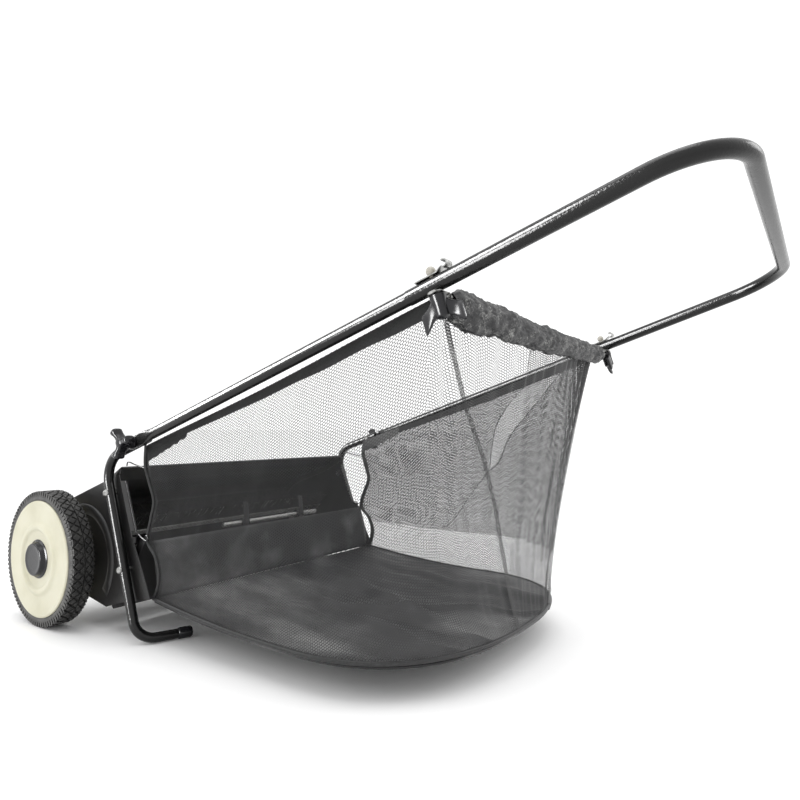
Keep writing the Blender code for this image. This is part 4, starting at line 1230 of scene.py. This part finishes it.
def make_bag_rear():
    panel = cloth("bag_rear_panel", grid(130, 84, rear_panel_point), "mesh_double")
    for finish in ("mesh_lower", "mesh_open", "mesh_strip"):
        panel.data.materials.append(look[finish])
    for face in panel.data.polygons:
        if face.center.z < MESH_HEM_Z:
            face.material_index = 1
        elif face.center.x > 0.03:
            face.material_index = 2
        elif face.center.x > -0.09:
            face.material_index = 3
    bag_piece(panel, "mesh_fabric", "bag_rear")

    widths = [SEAM_FOOT_X * (1 - i / 24) for i in range(49)]
    foot = [behind_axle(x, floor_y(x), BAG_FLOOR_Z) for x in widths]
    flange = [p + Vector((0, -0.002, -FLANGE_DROP)) for p in foot]
    extras = [
        cord("bag_rear_piping", foot, 0.0027),
        cord("bag_rear_flange", flange, 0.0021, "vinyl", 10),
        band("bag_rear_tape_left", grid(80, 3, left_tape_point), "mesh_tape"),
        band("bag_rear_tape_right", grid(80, 3, right_tape_point), "mesh_tape"),
    ]


ROLL_HALF = 0.2575


def roll_point(across, around):
    """Gathered mesh rolled round the rear rod, fuller at the left end."""
    rod = on_handle(0, BOLT_ALONG, EYE_ABOVE)
    share = 1 - 2 * across
    x = ROLL_HALF * share
    fullness = 0.87 + 0.15 * share
    pinch = 1 - 0.42 * max(0.0, (abs(share) - 0.90) / 0.10) ** 2
    sag = 0.0035 * (1 - share ** 2)
    angle = -pi / 2 - 2 * pi * 1.12 * around
    back, up = cos(angle), sin(angle)
    crumple = 0.22 * ripple(x * 22, back * 1.3, up * 1.3 + 7)
    crumple += 0.16 * ripple(x * 60 + up * 2, back * 2.6, up * 2.6)
    crumple += 0.09 * ripple(x * 150, back * 7, up * 7)
    pleat = 0.05 * sin(x * 210 + 3 * back + 4 * sin(x * 31))
    size = fullness * pinch * (0.93 + 0.07 * around + crumple + pleat)
    return Vector((x, rod.y + 0.0165 * size * back, rod.z - 0.0075 - sag + 0.0195 * size * up))


def make_bag_roll():
    roll = cloth("bag_gathered_roll", grid(230, 84, roll_point), "mesh_crush")
    bag_piece(roll, "mesh_fabric", "bag_rear_hem")


# creases of the floor: x at the front, sideways lean, height, half width
FLOOR_CREASES = (
    (0.17, -0.55, 0.006, 0.010), (0.02, 0.30, 0.008, 0.014), (-0.12, 0.45, 0.007, 0.012),
    (-0.20, 0.10, 0.005, 0.016), (0.10, -0.10, -0.006, 0.020),
)


def bottom_point(back, width_share):
    """The bag's floor: rounded at the back, creased, and sagging between its edges."""
    depth = floor_y(0.02) - BAG_FRONT_Y - 0.004
    y = BAG_FRONT_Y + 0.001 + depth * sin(back * pi / 2)
    across = 2 * width_share - 1
    x = (floor_half_width(y + 0.001) - 0.002) * across
    fold = 0.010 * ripple(x * 7, y * 11, 2.2)
    fold += 0.005 * ripple(x * 22, y * 9, 6.1)
    for start, lean, height, width in FLOOR_CREASES:
        off = x - start - lean * (y - BAG_FRONT_Y)
        fold += height * exp(-(off / width) ** 2)
    sag = 0.006 * (1 - across ** 2)
    inside = (1 - abs(across) ** 6) * min(1.0, 4 * back, 4 * (1 - back))
    rim = max(abs(across) ** 10, back ** 14)
    return behind_axle(x, y, floor_height(y) - 0.001 + (fold - sag) * inside + 0.002 * rim)


def make_bag_bottom():
    bottom = cloth("bag_floor", grid(84, 72, bottom_point), "vinyl")
    thicken(bottom, 0.0009)
    bag_piece(bottom, "vinyl", "bag_bottom")


APRON_HALF = 0.252
APRON_TAB_WIDTH = 0.012
APRON_TAB_HEIGHT = 0.038


def apron_point(width_share, down):
    x = APRON_HALF * (2 * width_share - 1)
    y = blend(APRON_ROD[0] + 0.0055, BAG_FRONT_Y + 0.001, down)
    z = blend(APRON_ROD[1] - 0.006, floor_height(BAG_FRONT_Y) + 0.0005, down)
    sway = 0.003 + 0.005 * ripple(x * 10, z * 8, 1.1)
    return behind_axle(x, y + sway * sin(pi * down), z)


def make_bag_apron():
    """Sheet from the apron rod down to the floor's front edge, with a tab at each clip."""
    apron = cloth("bag_front_apron", grid(60, 16, apron_point), "vinyl")
    thicken(apron, 0.0009)
    ridden(apron, "chassis", "vinyl", "bag_apron")
    for side_name, side in SIDES.items():

        def tab_point(rise, across):
            x = side * APRON_CLIP_X + (across - 0.5) * APRON_TAB_WIDTH
            y = APRON_ROD[0] + 0.0058 - 0.004 * rise ** 2
            return behind_axle(x, y, APRON_ROD[1] - 0.004 + APRON_TAB_HEIGHT * rise)

        tab = cloth("apron_tab_" + side_name, grid(12, 3, tab_point), "vinyl")
        thicken(tab, 0.0008)
        ridden(tab, "chassis", "vinyl")


def make_apron_bar():
    placing = facing(behind_axle(0, *APRON_ROD), DOWN, ACROSS)
    profile = [
        (0, 0.115), (0.0032, 0.115), (0.004, 0.1142), (0.004, -0.1142), (0.0032, -0.115), (0, -0.115)
    ]
    ridden(lathe("apron_bar", profile, placing, "zinc", 24), "chassis", "zinc", "apron_rod")
    for side_name, side in SIDES.items():
        profile = [
            (0.0041, 0.0080), (0.0064, 0.0080), (0.0070, 0.0072), (0.0070, 0.0052),
            (0.0062, 0.0046), (0.0062, -0.0046), (0.0070, -0.0052), (0.0070, -0.0072),
            (0.0064, -0.0080), (0.0041, -0.0080),
        ]
        place = facing(behind_axle(side * APRON_CLIP_X, *APRON_ROD), DOWN, ACROSS * side)
        clip = lathe("bar_clip_" + side_name, profile, place, "black_plastic", 28, True)
        ridden(clip, "chassis", "black_plastic", "rod_clip_" + side_name)


# height, the bag's front edge there, and where the hook holds on to the end plate
BAG_HOOKS = {"upper": (0.262, 0.202, 0.150), "lower": (0.154, 0.204, 0.181)}


def make_bag_hooks(side_name, side):
    """Wire hooks that pull the bag's front edge to the end plate."""
    x = side * 0.262
    for label, (z, y_edge, y_plate) in BAG_HOOKS.items():
        stops = [
            (x, y_plate, z - 0.002), (x, y_plate + 0.004, z + 0.004), (x, (y_edge + y_plate) / 2, z),
            (x, y_edge + 0.002, z - 0.004), (x, y_edge + 0.006, z), (x, y_edge + 0.002, z + 0.004),
            (x, y_edge - 0.002, z + 0.001),
        ]
        path = [behind_axle(*point) for point in smooth_curve(stops, 40)]
        hook = sweep(f"bag_hook_{label}_{side_name}", path, 0.0010, "black_tube", 10)
        ridden(hook, "chassis", "black_tube")


# ---- kept CAD nodes ----
# start of the node names, with the finish and the edge bevel that each gets
KEPT = {
    "end_plate": ("black_sheet", 0.0004), "rear_baffle": ("black_sheet", 0.0003),
    "wheel_hub": ("cream_plastic", 0.0004), "stub_axle": ("zinc", 0.0003),
    "axle_clip": ("zinc", 0.0002), "brush_shaft": ("zinc", 0.0003),
    "brush_spider": ("zinc", 0.0004), "brush_holder": ("zinc", 0.0003),
    "brush_bearing": ("black_plastic", 0.0003), "pinion": ("zinc", 0.0003),
    "rear_rod": ("zinc", 0.0003), "tie_clip": ("zinc", 0.0003),
}


def finish_kept_nodes():
    for name, node in frame["nodes"].items():
        for start, (material, width) in KEPT.items():
            if not name.startswith(start):
                continue
            node.data.materials.clear()
            node.data.materials.append(look[material])
            node.modifiers.new("weld", "WELD").merge_threshold = 0.00001
            bevel = node.modifiers.new("edges", "BEVEL")
            bevel.width = width
            bevel.segments = 2
            bevel.limit_method = "ANGLE"
            bevel.angle_limit = radians(SHARP_ANGLE)


# ---- assembly ----
make_studio()
make_hood()
make_upper_handle()
make_apron_bar()
for side_name, side in SIDES.items():
    make_lower_handle(side_name, side)
    make_leg(side_name, side)
    make_bolts(side_name, side)
    make_knobs(side_name, side)
    make_plate_details(side_name, side)
    make_tyre(side_name, side)
    make_hub_face(side_name, side)
    make_bag_hooks(side_name, side)
    make_bag_side(side_name, side)
for index in range(4):
    make_bristles(index)
make_bag_rear()
make_bag_roll()
make_bag_bottom()
make_bag_apron()
finish_kept_nodes()
add_softboxes()
